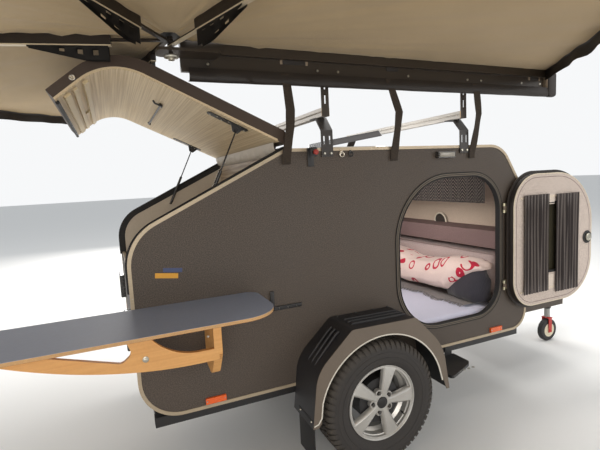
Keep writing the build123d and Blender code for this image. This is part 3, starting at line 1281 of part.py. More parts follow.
# Awning back plate and fixed rail, on slotted plates bolted to the crossbar ends
PLATE_TOP = AWNING_HIGH_HEIGHT - 32
with BuildPart() as awning_case:
    block(
        (AWNING_REAR_STATION, AWNING_FRONT_STATION),
        (AWNING_BACK_Y - AWNING_BACK_THICKNESS, AWNING_BACK_Y),
        (AWNING_LOW_HEIGHT, AWNING_HIGH_HEIGHT),
    )
    block(
        (AWNING_REAR_STATION, AWNING_FRONT_STATION),
        (AWNING_BACK_Y - AWNING_BACK_THICKNESS - AWNING_RAIL_WIDTH, AWNING_BACK_Y - AWNING_BACK_THICKNESS),
        (ARM_HEIGHT, ARM_HEIGHT + ARM_DEPTH),
    )
    block(
        (AWNING_REAR_STATION, AWNING_FRONT_STATION),
        (AWNING_BACK_Y - 2 * AWNING_BACK_THICKNESS, AWNING_BACK_Y - AWNING_BACK_THICKNESS),
        (AWNING_LOW_HEIGHT, AWNING_LOW_HEIGHT + AWNING_BACK_THICKNESS),
    )
    for station in CROSSBAR_STATIONS:
        inner_y = -HALF_WIDTH
        block(
            (station - 22, station + 22),
            (inner_y - RACK_FOOT_THICKNESS, inner_y),
            (CROSSBAR_HEIGHT - CROSSBAR_HALF, PLATE_TOP),
        )
        for rise in (CROSSBAR_HALF + 20, CROSSBAR_HALF + 95):
            block(
                (station - FOOT_SLOT_WIDTH / 2, station + FOOT_SLOT_WIDTH / 2),
                (inner_y - RACK_FOOT_THICKNESS, inner_y),
                (CROSSBAR_HEIGHT + rise, CROSSBAR_HEIGHT + rise + FOOT_SLOT_LENGTH),
                mode=Mode.SUBTRACT,
            )
        block(
            (station - 22, station + 22),
            (AWNING_BACK_Y, inner_y),
            (AWNING_LOW_HEIGHT + 20, AWNING_LOW_HEIGHT + 26),
        )
        block(
            (station - 22, station + 22),
            (AWNING_BACK_Y, inner_y),
            (PLATE_TOP - 6, PLATE_TOP),
        )
awning_case.part.label = "awning_back_plate"
export_step(awning_case.part, "parts/awning_back_plate.step")

# Pivot of the awning, a plate under the arms that carries the pin
PIVOT_PLATE_LOW = ARM_HEIGHT - 22
PIVOT_PLATE_HIGH = ARM_HEIGHT - 10
PIN_TOP = ARM_HEIGHT + ARM_DEPTH
with BuildPart() as awning_pivot:
    with BuildSketch(level_plane(PIVOT_PLATE_LOW)):
        with BuildLine():
            FilletPolyline(
                (ARM_PIVOT_STATION - 60, ARM_PIVOT_Y - 40),
                (AWNING_REAR_STATION + 160, ARM_PIVOT_Y - 40),
                (AWNING_REAR_STATION + 160, AWNING_BACK_Y - AWNING_BACK_THICKNESS),
                (ARM_PIVOT_STATION - 60, AWNING_BACK_Y - AWNING_BACK_THICKNESS),
                radius=[30, 12, 12, 30],
                close=True,
            )
        make_face()
    extrude(amount=PIVOT_PLATE_HIGH - PIVOT_PLATE_LOW)
    post(ARM_PIVOT_STATION, ARM_PIVOT_Y, ARM_PIN_RADIUS, (PIVOT_PLATE_LOW - 12, PIN_TOP))
awning_pivot.part.label = "awning_pivot"
export_step(awning_pivot.part, "parts/awning_pivot.step")

# Awning arms. Each is a light tube with a flat lug on the pin, and the lugs stack.
def arm_plane(angle, height):
    """A level plane at the pin, with its x along an arm at this angle."""
    turn = radians(angle)
    return Plane(
        origin=(REAR_X + ARM_PIVOT_STATION, ARM_PIVOT_Y, GROUND_Z + height),
        x_dir=(cos(turn), sin(turn), 0),
        z_dir=(0, 0, 1),
    )


for number, angle in enumerate(ARM_ANGLES, start=1):
    lug_low = ARM_HEIGHT + 1 + (number - 1) * LUG_PITCH
    middle_plane = arm_plane(angle, ARM_HEIGHT + ARM_DEPTH / 2)
    tube_end_plane = Plane(
        origin=middle_plane.origin + middle_plane.x_dir * ARM_START,
        x_dir=middle_plane.y_dir,
        z_dir=middle_plane.x_dir,
    )
    with BuildPart() as arm:
        with BuildSketch(tube_end_plane):
            Rectangle(ARM_WIDTH, ARM_DEPTH)
        extrude(amount=ARM_LENGTH - ARM_START)
        with BuildSketch(tube_end_plane.offset(60)):
            Rectangle(ARM_WIDTH - 2 * ARM_WALL, ARM_DEPTH - 2 * ARM_WALL)
        extrude(amount=ARM_LENGTH, mode=Mode.SUBTRACT)
        with BuildSketch(arm_plane(angle, lug_low)):
            Circle(LUG_WIDTH / 2)
            with Locations((ARM_START / 2 + 10, 0)):
                Rectangle(ARM_START + 20, LUG_WIDTH - 4)
            Circle(ARM_PIN_RADIUS + PIN_CLEARANCE, mode=Mode.SUBTRACT)
        extrude(amount=LUG_THICKNESS)
    arm.part.label = f"awning_arm_{number}"
    export_step(arm.part, f"parts/awning_arm_{number}.step")

# Canopy, one flat gore from arm to arm and the first from the fixed rail
CANOPY_HEIGHT = ARM_HEIGHT + ARM_DEPTH + CANOPY_GAP
rail_y = AWNING_BACK_Y - AWNING_BACK_THICKNESS - AWNING_RAIL_WIDTH / 2


def arm_tip(angle, reach):
    """A point on an arm's line, this far from the pin."""
    return (
        ARM_PIVOT_STATION + reach * cos(radians(angle)),
        ARM_PIVOT_Y + reach * sin(radians(angle)),
    )


with BuildPart() as canopy:
    with BuildSketch(level_plane(CANOPY_HEIGHT)):
        with BuildLine():
            Polyline(
                (AWNING_REAR_STATION + 40, rail_y),
                (AWNING_FRONT_STATION, rail_y),
                *[arm_tip(angle, ARM_LENGTH - 2) for angle in ARM_ANGLES],
                arm_tip(ARM_ANGLES[-1], 60),
                close=True,
            )
        make_face()
    extrude(amount=CANOPY_THICKNESS)
canopy.part.label = "awning_canopy"
export_step(canopy.part, "parts/awning_canopy.step")

# Side table, a long board with rounded ends hooked on the right wall
TABLE_WALL_Y = -HALF_WIDTH - TRIM_THICKNESS - 0.3
with BuildPart() as table_top:
    with BuildSketch(level_plane(TABLE_TOP_HEIGHT - TABLE_THICKNESS)):
        with BuildLine():
            FilletPolyline(
                (TABLE_REAR_STATION, TABLE_WALL_Y - TABLE_DEPTH),
                (TABLE_FRONT_STATION, TABLE_WALL_Y - TABLE_DEPTH),
                (TABLE_FRONT_STATION, TABLE_WALL_Y),
                (TABLE_REAR_STATION, TABLE_WALL_Y),
                radius=[TABLE_CORNER_RADIUS, TABLE_CORNER_RADIUS, 60, 60],
                close=True,
            )
        make_face()
    extrude(amount=TABLE_THICKNESS)
table_top.part.label = "side_table_top"
export_step(table_top.part, "parts/side_table_top.step")

# Table bracket, a plywood wing against the wall and a curved arm along the table, let
# into the wing at its outer edge
WING_OUTER_Y = TABLE_WALL_Y - TABLE_WING_DEPTH
TABLE_UNDERSIDE = TABLE_TOP_HEIGHT - TABLE_THICKNESS
arm_tail = (TABLE_REAR_STATION + 20, TABLE_UNDERSIDE)
arm_end_low = (TABLE_WING_STATION + TABLE_BOARD, TABLE_UNDERSIDE - TABLE_ARM_END[0])
arm_end_high = (TABLE_WING_STATION + TABLE_BOARD, TABLE_UNDERSIDE - TABLE_ARM_END[1])
arm_belly = (TABLE_ARM_BELLY[0], TABLE_UNDERSIDE - TABLE_ARM_BELLY[1])
arm_shoulder = (TABLE_ARM_SHOULDER[0], TABLE_UNDERSIDE - TABLE_ARM_SHOULDER[1])
arm_heel = (TABLE_ARM_HEEL, TABLE_UNDERSIDE)
with BuildPart() as table_bracket:
    with BuildSketch(cross_plane(TABLE_WING_STATION)):
        with BuildLine():
            FilletPolyline(
                (TABLE_WALL_Y, TABLE_UNDERSIDE - TABLE_WING_DROP + 15),
                (TABLE_WALL_Y, TABLE_UNDERSIDE),
                (WING_OUTER_Y, TABLE_UNDERSIDE),
                (WING_OUTER_Y, TABLE_UNDERSIDE - 195),
                (TABLE_WALL_Y - 120, TABLE_UNDERSIDE - TABLE_WING_DROP),
                radius=[20, 0, 0, 50, 60],
                close=True,
            )
        make_face()
    extrude(amount=TABLE_WING_THICKNESS)
    with BuildSketch(side_plane(WING_OUTER_Y + TABLE_BOARD)):
        with BuildLine():
            ThreePointArc(arm_tail, arm_belly, arm_end_low)
            Line(arm_end_low, arm_end_high)
            FilletPolyline(arm_end_high, arm_shoulder, arm_heel, radius=250)
            Line(arm_heel, arm_tail)
        make_face()
        with BuildLine():
            FilletPolyline(
                *[(station, TABLE_UNDERSIDE - drop) for station, drop in TABLE_ARM_OPENING],
                radius=[8, 30, 30, 12],
                close=True,
            )
        make_face(mode=Mode.SUBTRACT)
    extrude(amount=TABLE_BOARD)
table_bracket.part.label = "side_table_bracket"
export_step(table_bracket.part, "parts/side_table_bracket.step")

# Entry step, a plate with a turned-down rim on a hanger bolted to the right rail
hanger_stations = (
    STEP_HANGER_STATION - STEP_HANGER_WIDTH / 2,
    STEP_HANGER_STATION + STEP_HANGER_WIDTH / 2,
)
step_low = STEP_HEIGHT - STEP_THICKNESS
rail_face_y = -RAIL_Y - RAIL_SIZE / 2
with BuildPart() as entry_step:
    with BuildSketch(level_plane(step_low - STEP_THICKNESS)):
        with BuildLine():
            FilletPolyline(
                (STEP_REAR_STATION, -HALF_WIDTH - STEP_DEPTH),
                (STEP_FRONT_STATION - 30, -HALF_WIDTH - STEP_DEPTH + 88),
                (STEP_FRONT_STATION, -HALF_WIDTH - STEP_DEPTH / 2),
                (STEP_FRONT_STATION, rail_face_y),
                (STEP_REAR_STATION, rail_face_y),
                radius=[18, 18, 30, 8, 8],
                close=True,
            )
        make_face()
    extrude(amount=2 * STEP_THICKNESS)
    step_foot = entry_step.faces().sort_by(Axis.Z)[0]
    offset(amount=-STEP_THICKNESS / 2, openings=step_foot)
    block(hanger_stations, (rail_face_y - STEP_THICKNESS, rail_face_y), (step_low, UNDERSIDE_HEIGHT - 8))
    block(hanger_stations, (-HALF_WIDTH - 60, rail_face_y), (step_low - 4, STEP_HEIGHT - 4))
entry_step.part.label = "entry_step"
export_step(entry_step.part, "parts/entry_step.step")

# Lights. Two clusters on the rear panel, side markers and an entry lamp.
with BuildPart() as tail_lights:
    for side in (-1, 1):
        ys = sorted((side * (HALF_WIDTH - 230), side * (HALF_WIDTH - 60)))
        block((-TAIL_LAMP_DEPTH, 0), ys, TAIL_LAMP_HEIGHTS)
    lamp_edges = tail_lights.faces().sort_by(Axis.X)[0].edges()
    lamp_edges += tail_lights.faces().sort_by(Axis.X)[1].edges()
    fillet(lamp_edges, 8)
tail_lights.part.label = "tail_lights"
export_step(tail_lights.part, "parts/tail_lights.step")

with BuildPart() as side_lights:
    for side in (-1, 1):
        marker_ys = sorted((side * HALF_WIDTH, side * (HALF_WIDTH + 12)))
        lamp_ys = sorted((side * HALF_WIDTH, side * (HALF_WIDTH + 28)))
        for station in MARKER_STATIONS:
            block((station - 52, station + 52), marker_ys, (MARKER_HEIGHT - 15, MARKER_HEIGHT + 15))
        block((LAMP_STATION - 65, LAMP_STATION + 65), lamp_ys, (LAMP_HEIGHT - 19, LAMP_HEIGHT + 19))
side_lights.part.label = "side_lights"
export_step(side_lights.part, "parts/side_lights.step")

# Galley. The bulkhead steps forward over the foot of the bed, under the counter.
counter_low = COUNTER_HEIGHT - COUNTER_THICKNESS
roof_inside = ROOF_HEIGHT - WALL_THICKNESS
with BuildPart() as bulkhead:
    block(
        (BULKHEAD_LOW_STATION, BULKHEAD_LOW_STATION + BULKHEAD_THICKNESS),
        (-INNER_HALF_WIDTH, INNER_HALF_WIDTH),
        (FLOOR_TOP, counter_low),
    )
    block(
        (BULKHEAD_LOW_STATION, BULKHEAD_STATION + BULKHEAD_THICKNESS),
        (-INNER_HALF_WIDTH, INNER_HALF_WIDTH),
        (counter_low - BULKHEAD_THICKNESS, counter_low),
    )
    block(
        (BULKHEAD_STATION, BULKHEAD_STATION + BULKHEAD_THICKNESS),
        (-INNER_HALF_WIDTH, INNER_HALF_WIDTH),
        (counter_low, roof_inside),
    )
bulkhead.part.label = "galley_bulkhead"
export_step(bulkhead.part, "parts/galley_bulkhead.step")

SHELF_BOARD = 15
with BuildPart() as galley_units:
    block(
        (WALL_THICKNESS + 15, BULKHEAD_STATION),
        (-INNER_HALF_WIDTH, INNER_HALF_WIDTH),
        (counter_low, COUNTER_HEIGHT),
    )
    shelf_rear = 560
    for height in (1240, 1420):
        block(
            (shelf_rear, BULKHEAD_STATION),
            (-INNER_HALF_WIDTH + 45, INNER_HALF_WIDTH - 45),
            (height, height + SHELF_BOARD),
        )
    for y in (-INNER_HALF_WIDTH + 45, -SHELF_BOARD / 2, INNER_HALF_WIDTH - 45 - SHELF_BOARD):
        block((shelf_rear, BULKHEAD_STATION), (y, y + SHELF_BOARD), (COUNTER_HEIGHT, 1435))
galley_units.part.label = "galley_units"
export_step(galley_units.part, "parts/galley_units.step")

# Shelf across the nose of the cabin
nose_inside = BODY_LENGTH - WALL_THICKNESS
with BuildPart() as nose_shelf:
    shelf_ys = (-INNER_HALF_WIDTH, INNER_HALF_WIDTH)
    shelf_heights = (SHELF_HIGH_HEIGHT - SHELF_BOARD, SHELF_HIGH_HEIGHT)
    block((SHELF_STATION, nose_inside - SOFT_GAP), shelf_ys, shelf_heights)
    block((SHELF_STATION, SHELF_STATION + SHELF_BOARD), shelf_ys, (SHELF_LOW_HEIGHT, SHELF_HIGH_HEIGHT))
nose_shelf.part.label = "nose_shelf"
export_step(nose_shelf.part, "parts/nose_shelf.step")

# Bedding, plain closed forms a little clear of what they lie on
bed_low = FLOOR_TOP + SOFT_GAP
bed_high = bed_low + MATTRESS_THICKNESS
BOLSTER_STATION = nose_inside - 165
BED_FOOT_STATION = BULKHEAD_LOW_STATION + BULKHEAD_THICKNESS + 8
with BuildPart() as mattress:
    with BuildSketch(side_plane(INNER_HALF_WIDTH - 10)):
        body_profile(WALL_THICKNESS + SOFT_GAP)
        with Locations((BED_FOOT_STATION, bed_low)):
            Rectangle(
                BODY_LENGTH - NOSE_LOW_RADIUS - BED_FOOT_STATION,
                MATTRESS_THICKNESS,
                align=(Align.MIN, Align.MIN),
            )
        keep_window((BED_FOOT_STATION, nose_inside), (bed_low, bed_high))
    extrude(amount=2 * INNER_HALF_WIDTH - 20)
mattress.part.label = "mattress"
export_step(mattress.part, "parts/mattress.step")

with BuildPart() as bolster:
    block(
        (BOLSTER_STATION, nose_inside - 10),
        (-INNER_HALF_WIDTH + 30, INNER_HALF_WIDTH - 30),
        (bed_high + SOFT_GAP, SHELF_LOW_HEIGHT - 12),
    )
    fillet(bolster.edges().filter_by(Axis.Y), 60)
bolster.part.label = "bolster"
export_step(bolster.part, "parts/bolster.step")

with BuildPart() as duvet:
    block(
        (BOLSTER_STATION - DUVET_FOLD_DEPTH, BOLSTER_STATION - 5),
        (-INNER_HALF_WIDTH + 50, INNER_HALF_WIDTH - 50),
        (bed_high + SOFT_GAP, bed_high + DUVET_FOLD_HEIGHT),
    )
    fillet(duvet.edges().filter_by(Axis.Y), 60)
duvet.part.label = "duvet"
export_step(duvet.part, "parts/duvet.step")
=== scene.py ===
# A teardrop camping trailer with its galley hatch raised, its right-hand door folded
# forward against the wall, and the fan awning of its right side opened out.
import math
import random

import bmesh
import bpy
from mathutils import Matrix, Vector, noise


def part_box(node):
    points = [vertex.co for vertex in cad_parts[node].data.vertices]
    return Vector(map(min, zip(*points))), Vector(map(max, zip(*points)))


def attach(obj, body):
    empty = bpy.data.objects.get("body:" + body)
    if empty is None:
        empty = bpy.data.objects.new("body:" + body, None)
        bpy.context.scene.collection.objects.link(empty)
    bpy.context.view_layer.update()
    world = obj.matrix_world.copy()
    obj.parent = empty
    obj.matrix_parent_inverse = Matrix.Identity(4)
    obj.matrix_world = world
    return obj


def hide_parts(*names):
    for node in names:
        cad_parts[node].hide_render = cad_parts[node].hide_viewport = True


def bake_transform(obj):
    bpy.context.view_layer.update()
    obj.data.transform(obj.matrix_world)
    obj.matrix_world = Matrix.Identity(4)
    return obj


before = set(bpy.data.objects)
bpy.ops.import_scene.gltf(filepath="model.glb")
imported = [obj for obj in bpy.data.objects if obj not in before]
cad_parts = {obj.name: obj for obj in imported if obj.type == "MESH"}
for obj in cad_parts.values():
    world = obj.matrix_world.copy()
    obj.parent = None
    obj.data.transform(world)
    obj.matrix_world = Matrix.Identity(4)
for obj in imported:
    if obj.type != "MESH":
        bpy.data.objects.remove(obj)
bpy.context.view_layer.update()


# Setting: the camera stands off the right rear corner at eye height, on a pale floor.
# The opened awning roofs over that side, so the main light comes in low beneath it.
def camera_turn(yaw, pitch, roll):
    forward = Vector((math.sin(yaw), math.cos(yaw), 0))
    across = Vector((math.cos(yaw), -math.sin(yaw), 0))
    sight = forward * math.cos(pitch) - Vector((0, 0, 1)) * math.sin(pitch)
    rise = Vector((0, 0, 1)) * math.cos(pitch) + forward * math.sin(pitch)
    right = across * math.cos(roll) + rise * math.sin(roll)
    up = rise * math.cos(roll) - across * math.sin(roll)
    return Matrix((right, up, -sight)).transposed()


lens = bpy.data.cameras.new("eye_level_camera")
lens.sensor_width = 36
lens.lens = 431.1 * 36 / 600
lens.clip_start = 0.05
lens.clip_end = 200
camera = bpy.data.objects.new("eye_level_camera", lens)
bpy.context.scene.collection.objects.link(camera)
camera.matrix_world = camera_turn(
    math.radians(23.55), math.radians(6.13), math.radians(-2.86)).to_4x4()
camera.location = (-3.996, -2.800, 1.179)
bpy.context.scene.camera = camera
bpy.context.scene.view_settings.view_transform = "Standard"


def add(tree, kind, inputs=None, **settings):
    """One node of a tree, with its inputs set or linked."""
    node = tree.nodes.new(kind)
    for name, value in settings.items():
        setattr(node, name, value)
    for key, value in (inputs or {}).items():
        if isinstance(value, bpy.types.NodeSocket):
            tree.links.new(value, node.inputs[key])
        else:
            node.inputs[key].default_value = value
    return node


sky = bpy.data.worlds.new("studio_sky")
sky.use_nodes = True
tree = sky.node_tree
tree.nodes.clear()
ray = add(tree, "ShaderNodeLightPath")
seen = add(tree, "ShaderNodeMath", {0: ray.outputs["Is Camera Ray"], 1: ray.outputs["Is Glossy Ray"]},
           operation="MAXIMUM")
seen = add(tree, "ShaderNodeMath", {0: seen.outputs[0], 1: ray.outputs["Is Transmission Ray"]},
           operation="MAXIMUM")
dome = add(tree, "ShaderNodeBackground", {"Color": (0.90, 0.95, 1.0, 1), "Strength": 0.62})
paper = add(tree, "ShaderNodeBackground", {"Color": (0.93, 0.94, 0.95, 1), "Strength": 1.0})
mixed = add(tree, "ShaderNodeMixShader", {0: seen.outputs[0], 1: dome.outputs[0], 2: paper.outputs[0]})
add(tree, "ShaderNodeOutputWorld", {0: mixed.outputs[0]})
bpy.context.scene.world = sky

ground_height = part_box("tyre_right")[0].z
floor_mesh = bpy.data.meshes.new("studio_floor")
floor_mesh.from_pydata([(x, y, ground_height) for x, y in ((-60, -60), (60, -60), (60, 60), (-60, 60))],
                       [], [(0, 1, 2, 3)])
floor = bpy.data.objects.new("studio_floor", floor_mesh)
bpy.context.scene.collection.objects.link(floor)
floor_finish = bpy.data.materials.new("studio_floor")
floor_finish.use_nodes = True
tree = floor_finish.node_tree
tree.nodes["Principled BSDF"].inputs["Base Color"].default_value = (0.80, 0.79, 0.77, 1)
tree.nodes["Principled BSDF"].inputs["Roughness"].default_value = 0.9
floor_mesh.materials.append(floor_finish)


def lamp(name, place, aim, size, watts, colour):
    data = bpy.data.lights.new(name, "AREA")
    data.shape = "RECTANGLE"
    data.size, data.size_y = size
    data.energy = watts
    data.color = colour
    obj = bpy.data.objects.new(name, data)
    bpy.context.scene.collection.objects.link(obj)
    turn = (Vector(aim) - Vector(place)).to_track_quat("-Z", "Y")
    obj.matrix_world = Matrix.Translation(place) @ turn.to_matrix().to_4x4()


lamp("key_softbox", (-5.5, -8.0, 1.9), (-2.6, -0.6, 0.5), (5.0, 3.2), 205, (1.0, 0.95, 0.87))
lamp("fill_softbox", (3.5, -8.0, 2.6), (-1.6, -0.6, 0.4), (4.0, 3.0), 105, (1.0, 0.96, 0.90))
lamp("far_side_softbox", (-1.5, 8.5, 3.2), (-2.6, 0.5, 0.5), (6.0, 3.5), 480, (1.0, 0.97, 0.93))
lamp("overhead_softbox", (-2.5, 0.0, 8.0), (-2.5, 0.0, 0.0), (7.0, 6.0), 640, (1.0, 0.98, 0.95))


# Colours, surfaces and the simple shapes that every section below is built from.
def tone(red, green, blue):
    """A colour given as screen values, in linear light."""
    return tuple((value / 255) ** 2.2 for value in (red, green, blue)) + (1,)


def noise_at(tree, place, scale, detail, distortion=0.0):
    return add(tree, "ShaderNodeTexNoise", {"Vector": place, "Scale": scale, "Detail": detail,
                                            "Distortion": distortion}).outputs[0]


def ramp(tree, value, low, high, first=0.0, last=1.0):
    """A value spread from one range to another, and held at its ends."""
    return add(tree, "ShaderNodeMapRange", {0: value, 1: low, 2: high, 3: first, 4: last}).outputs[0]


def stretched(tree, place, scale):
    return add(tree, "ShaderNodeMapping", {"Vector": place, "Scale": scale}).outputs[0]


def finish(name, colour, roughness, metallic=0.0, mottle=0.10, grain=90.0, relief=0.12,
           stretch=(1, 1, 1), pattern=None, **sockets):
    """A surface with soft blotches, fine grain and an uneven polish, or with its own pattern."""
    surface = bpy.data.materials.new(name)
    surface.use_nodes = True
    tree = surface.node_tree
    shader = tree.nodes["Principled BSDF"]
    place = add(tree, "ShaderNodeTexCoord").outputs["Object"]
    fitted = stretched(tree, place, stretch)
    cloud = noise_at(tree, fitted, 2.6, 5.0)
    speck = noise_at(tree, fitted, grain, 3.0)
    both = add(tree, "ShaderNodeMix", {0: 0.45, 2: cloud, 3: speck}).outputs[0]
    value = ramp(tree, both, 0.3, 0.7, 1 - mottle, 1 + mottle)
    height = speck
    base = colour
    if pattern:
        base, height = pattern(tree, place, speck)
    tint = add(tree, "ShaderNodeHueSaturation", {"Value": value, "Color": base}).outputs[0]
    polish = ramp(tree, both, 0.3, 0.7, max(roughness - 0.09, 0.03), roughness + 0.09)
    bump = add(tree, "ShaderNodeBump", {"Height": height, "Strength": relief, "Distance": 0.002}).outputs[0]
    tree.links.new(tint, shader.inputs["Base Color"])
    tree.links.new(polish, shader.inputs["Roughness"])
    tree.links.new(bump, shader.inputs["Normal"])
    shader.inputs["Metallic"].default_value = metallic
    for key, setting in sockets.items():
        shader.inputs[key.replace("_", " ").title()].default_value = setting
    return surface


def calc(tree, operation, first, second=0.0, third=0.0):
    return add(tree, "ShaderNodeMath", {0: first, 1: second, 2: third}, operation=operation).outputs[0]


def wave(tree, value, pitch):
    """A sine along a value, with its pitch in radians to the metre."""
    return calc(tree, "SINE", calc(tree, "MULTIPLY", value, pitch))


def axes(tree, place):
    """The three coordinates of a place."""
    return add(tree, "ShaderNodeSeparateXYZ", {0: place}).outputs


def off_axle(tree, place, middle):
    """The distance of a place from an axle that lies across the trailer."""
    apart = axes(tree, place)
    x = calc(tree, "SUBTRACT", apart[0], middle.x)
    z = calc(tree, "SUBTRACT", apart[2], middle.z)
    return calc(tree, "SQRT", calc(tree, "ADD", calc(tree, "MULTIPLY", x, x), calc(tree, "MULTIPLY", z, z)))


def two_tone(tree, share, low, high):
    """One colour turning into another as the share goes from 0 to 1."""
    return add(tree, "ShaderNodeMix", {0: share, 6: low, 7: high}, data_type="RGBA").outputs[2]


def dress(surface, *names):
    """Give CAD pieces their finish."""
    for name in names:
        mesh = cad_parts[name].data
        mesh.materials.clear()
        mesh.materials.append(surface)


def loft(shape, rings, closed=True, caps=True):
    """Skin a row of point rings, with a face at each end."""
    rows = [[shape.verts.new(point) for point in ring] for ring in rings]
    count = len(rows[0])
    for low, high in zip(rows, rows[1:]):
        for k in range(count if closed else count - 1):
            shape.faces.new((low[k], low[(k + 1) % count], high[(k + 1) % count], high[k]))
    if caps and closed:
        shape.faces.new(rows[0][::-1])
        shape.faces.new(rows[-1])
    return rows


def tube(shape, path, radius, sides=8, closed=False, flat=1.0):
    """Sweep a round or flattened section along a path."""
    path = [Vector(point) for point in path]
    count = len(path)
    rings = []
    side = None
    for k, here in enumerate(path):
        ahead = path[(k + 1) % count] - path[k - 1] if closed else (
            path[min(k + 1, count - 1)] - path[max(k - 1, 0)])
        ahead.normalize()
        if side is None:
            side = Vector((0, 0, 1)) if abs(ahead.z) < 0.9 else Vector((0, 1, 0))
        side = (side - ahead * side.dot(ahead)).normalized()
        up = ahead.cross(side)
        rings.append([
            here + (side * math.cos(turn) * flat + up * math.sin(turn)) * radius
            for turn in (2 * math.pi * j / sides for j in range(sides))
        ])
    if closed:
        rings.append(rings[0])
        loft(shape, rings, caps=False)
        bmesh.ops.remove_doubles(shape, verts=shape.verts, dist=1e-6)
    else:
        loft(shape, rings)


def turned(shape, profile, centre, axis, sides=40):
    """Turn a profile of (distance along the axis, radius) about the axis."""
    axis = Vector(axis).normalized()
    side = axis.orthogonal().normalized()
    up = axis.cross(side)
    rings = []
    for along, radius in profile:
        rings.append([
            Vector(centre) + axis * along
            + (side * math.cos(turn) + up * math.sin(turn)) * max(radius, 1e-5)
            for turn in (2 * math.pi * j / sides for j in range(sides))
        ])
    loft(shape, rings)


def block(shape, low, high, edge=0.002, steps=2):
    """A square piece between two corners, with its edges rounded."""
    low, high = [Vector([pick(pair) for pair in zip(low, high)]) for pick in (min, max)]
    made = bmesh.ops.create_cube(shape, size=1)["verts"]
    size = high - low
    for vert in made:
        vert.co = Vector((vert.co.x * size.x, vert.co.y * size.y, vert.co.z * size.z)) + (low + high) / 2
    edges = list({e for vert in made for e in vert.link_edges})
    if edge:
        bmesh.ops.bevel(shape, geom=edges, offset=edge, segments=steps, affect="EDGES", profile=0.5)


def formed(make, *given, **form):
    """A new shape that one of the functions above makes."""
    shape = bmesh.new()
    make(shape, *given, **form)
    return shape


def piece(name, shape, surface, body="trailer", crease=35):
    """A finished shape in place, with its surface, riding on a body."""
    mesh = shape
    if isinstance(shape, bmesh.types.BMesh):
        bmesh.ops.recalc_face_normals(shape, faces=shape.faces)
        mesh = bpy.data.meshes.new(name)
        shape.to_mesh(mesh)
        shape.free()
    mesh.materials.clear()
    mesh.materials.append(surface)
    mesh.shade_smooth()
    mesh.set_sharp_from_angle(angle=math.radians(crease))
    obj = bpy.data.objects.new(name, mesh)
    bpy.context.scene.collection.objects.link(obj)
    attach(obj, body)
    return obj


rear_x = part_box("side_wall_right")[0].x
SIDES = (("right", -1), ("left", 1))


def spot(station, y, height):
    """A place in metres: forward from the rear face, across, and above the ground."""
    return Vector((rear_x + station, y, ground_height + height))


def about(station, height, radius, start, stop, y, count):
    """Points on an upright arc that faces the side, angles from forward through up."""
    turns = [math.radians(start + (stop - start) * k / (count - 1)) for k in range(count)]
    return [spot(station + radius * math.cos(turn), y, height + radius * math.sin(turn)) for turn in turns]


# Chassis: a ladder frame and drawbar of square steel tube, painted black after welding,
# with a pressed ball coupling bolted between the drawbar rails.
zinc = finish("zinc_plated_steel", tone(176, 172, 160), 0.32, metallic=0.9, mottle=0.08, grain=140)
black_steel = finish("black_painted_steel", tone(38, 37, 38), 0.42, mottle=0.18, grain=120)
black_plastic = finish("black_moulded_plastic", tone(36, 34, 34), 0.5, mottle=0.12, grain=260, relief=0.2)
rubber = finish("black_rubber", tone(30, 29, 29), 0.72, mottle=0.14, grain=180)
dress(black_steel, "chassis_frame", "torsion_axle", "coupling_head")


def geometry_tree(name, **sockets):
    """A Geometry Nodes tree with its inputs, a surface among them, and one output."""
    tree = bpy.data.node_groups.new(name, "GeometryNodeTree")
    for label, kind in {**sockets, "Surface": "Material"}.items():
        tree.interface.new_socket(label, in_out="INPUT", socket_type="NodeSocket" + kind)
    tree.interface.new_socket("Result", in_out="OUTPUT", socket_type="NodeSocketGeometry")
    return tree, add(tree, "NodeGroupInput").outputs


def close_tree(tree, spread, surface):
    real = add(tree, "GeometryNodeRealizeInstances", {0: spread.outputs[0]})
    dressed = add(tree, "GeometryNodeSetMaterial", {0: real.outputs[0], "Material": surface})
    add(tree, "NodeGroupOutput", {0: dressed.outputs[0]})


def grown(name, mesh, tree, inputs, body):
    """Run a Geometry Nodes tree on a mesh and keep the result as a plain piece."""
    carrier = bpy.data.objects.new(name + "_start", mesh)
    bpy.context.scene.collection.objects.link(carrier)
    modifier = carrier.modifiers.new("grow", "NODES")
    modifier.node_group = tree
    named = {item.name: item.identifier for item in tree.interface.items_tree if item.in_out == "INPUT"}
    for label, value in inputs.items():
        modifier[named[label]] = value
    result = bpy.data.meshes.new_from_object(carrier.evaluated_get(bpy.context.evaluated_depsgraph_get()))
    bpy.data.objects.remove(carrier)
    result.name = name
    return piece(name, result, inputs["Surface"], body)


heads, given = geometry_tree("screw_heads", Places="Geometry", Radius="Float", Height="Float",
                             Facing="Vector")
collar = add(heads, "GeometryNodeMeshCone", {"Vertices": 14, "Radius Top": calc(heads, "MULTIPLY",
        given["Radius"], 0.72),
                                            "Radius Bottom": given["Radius"], "Depth": given["Height"]})
facing = add(heads, "FunctionNodeAlignEulerToVector", {"Vector": given["Facing"]}, axis="Z").outputs[0]
spread = add(heads, "GeometryNodeInstanceOnPoints",
             {"Points": given["Places"], "Instance": collar.outputs[0], "Rotation": facing})
close_tree(heads, spread, given["Surface"])


def screws(name, points, facing, radius, height, surface, body="trailer"):
    """A row of screw heads, one on each point."""
    mesh = bpy.data.meshes.new(name + "_points")
    mesh.from_pydata([tuple(point) for point in points], [], [])
    return grown(name, mesh, heads, {"Radius": radius, "Height": height, "Facing": facing,
                                     "Surface": surface}, body)


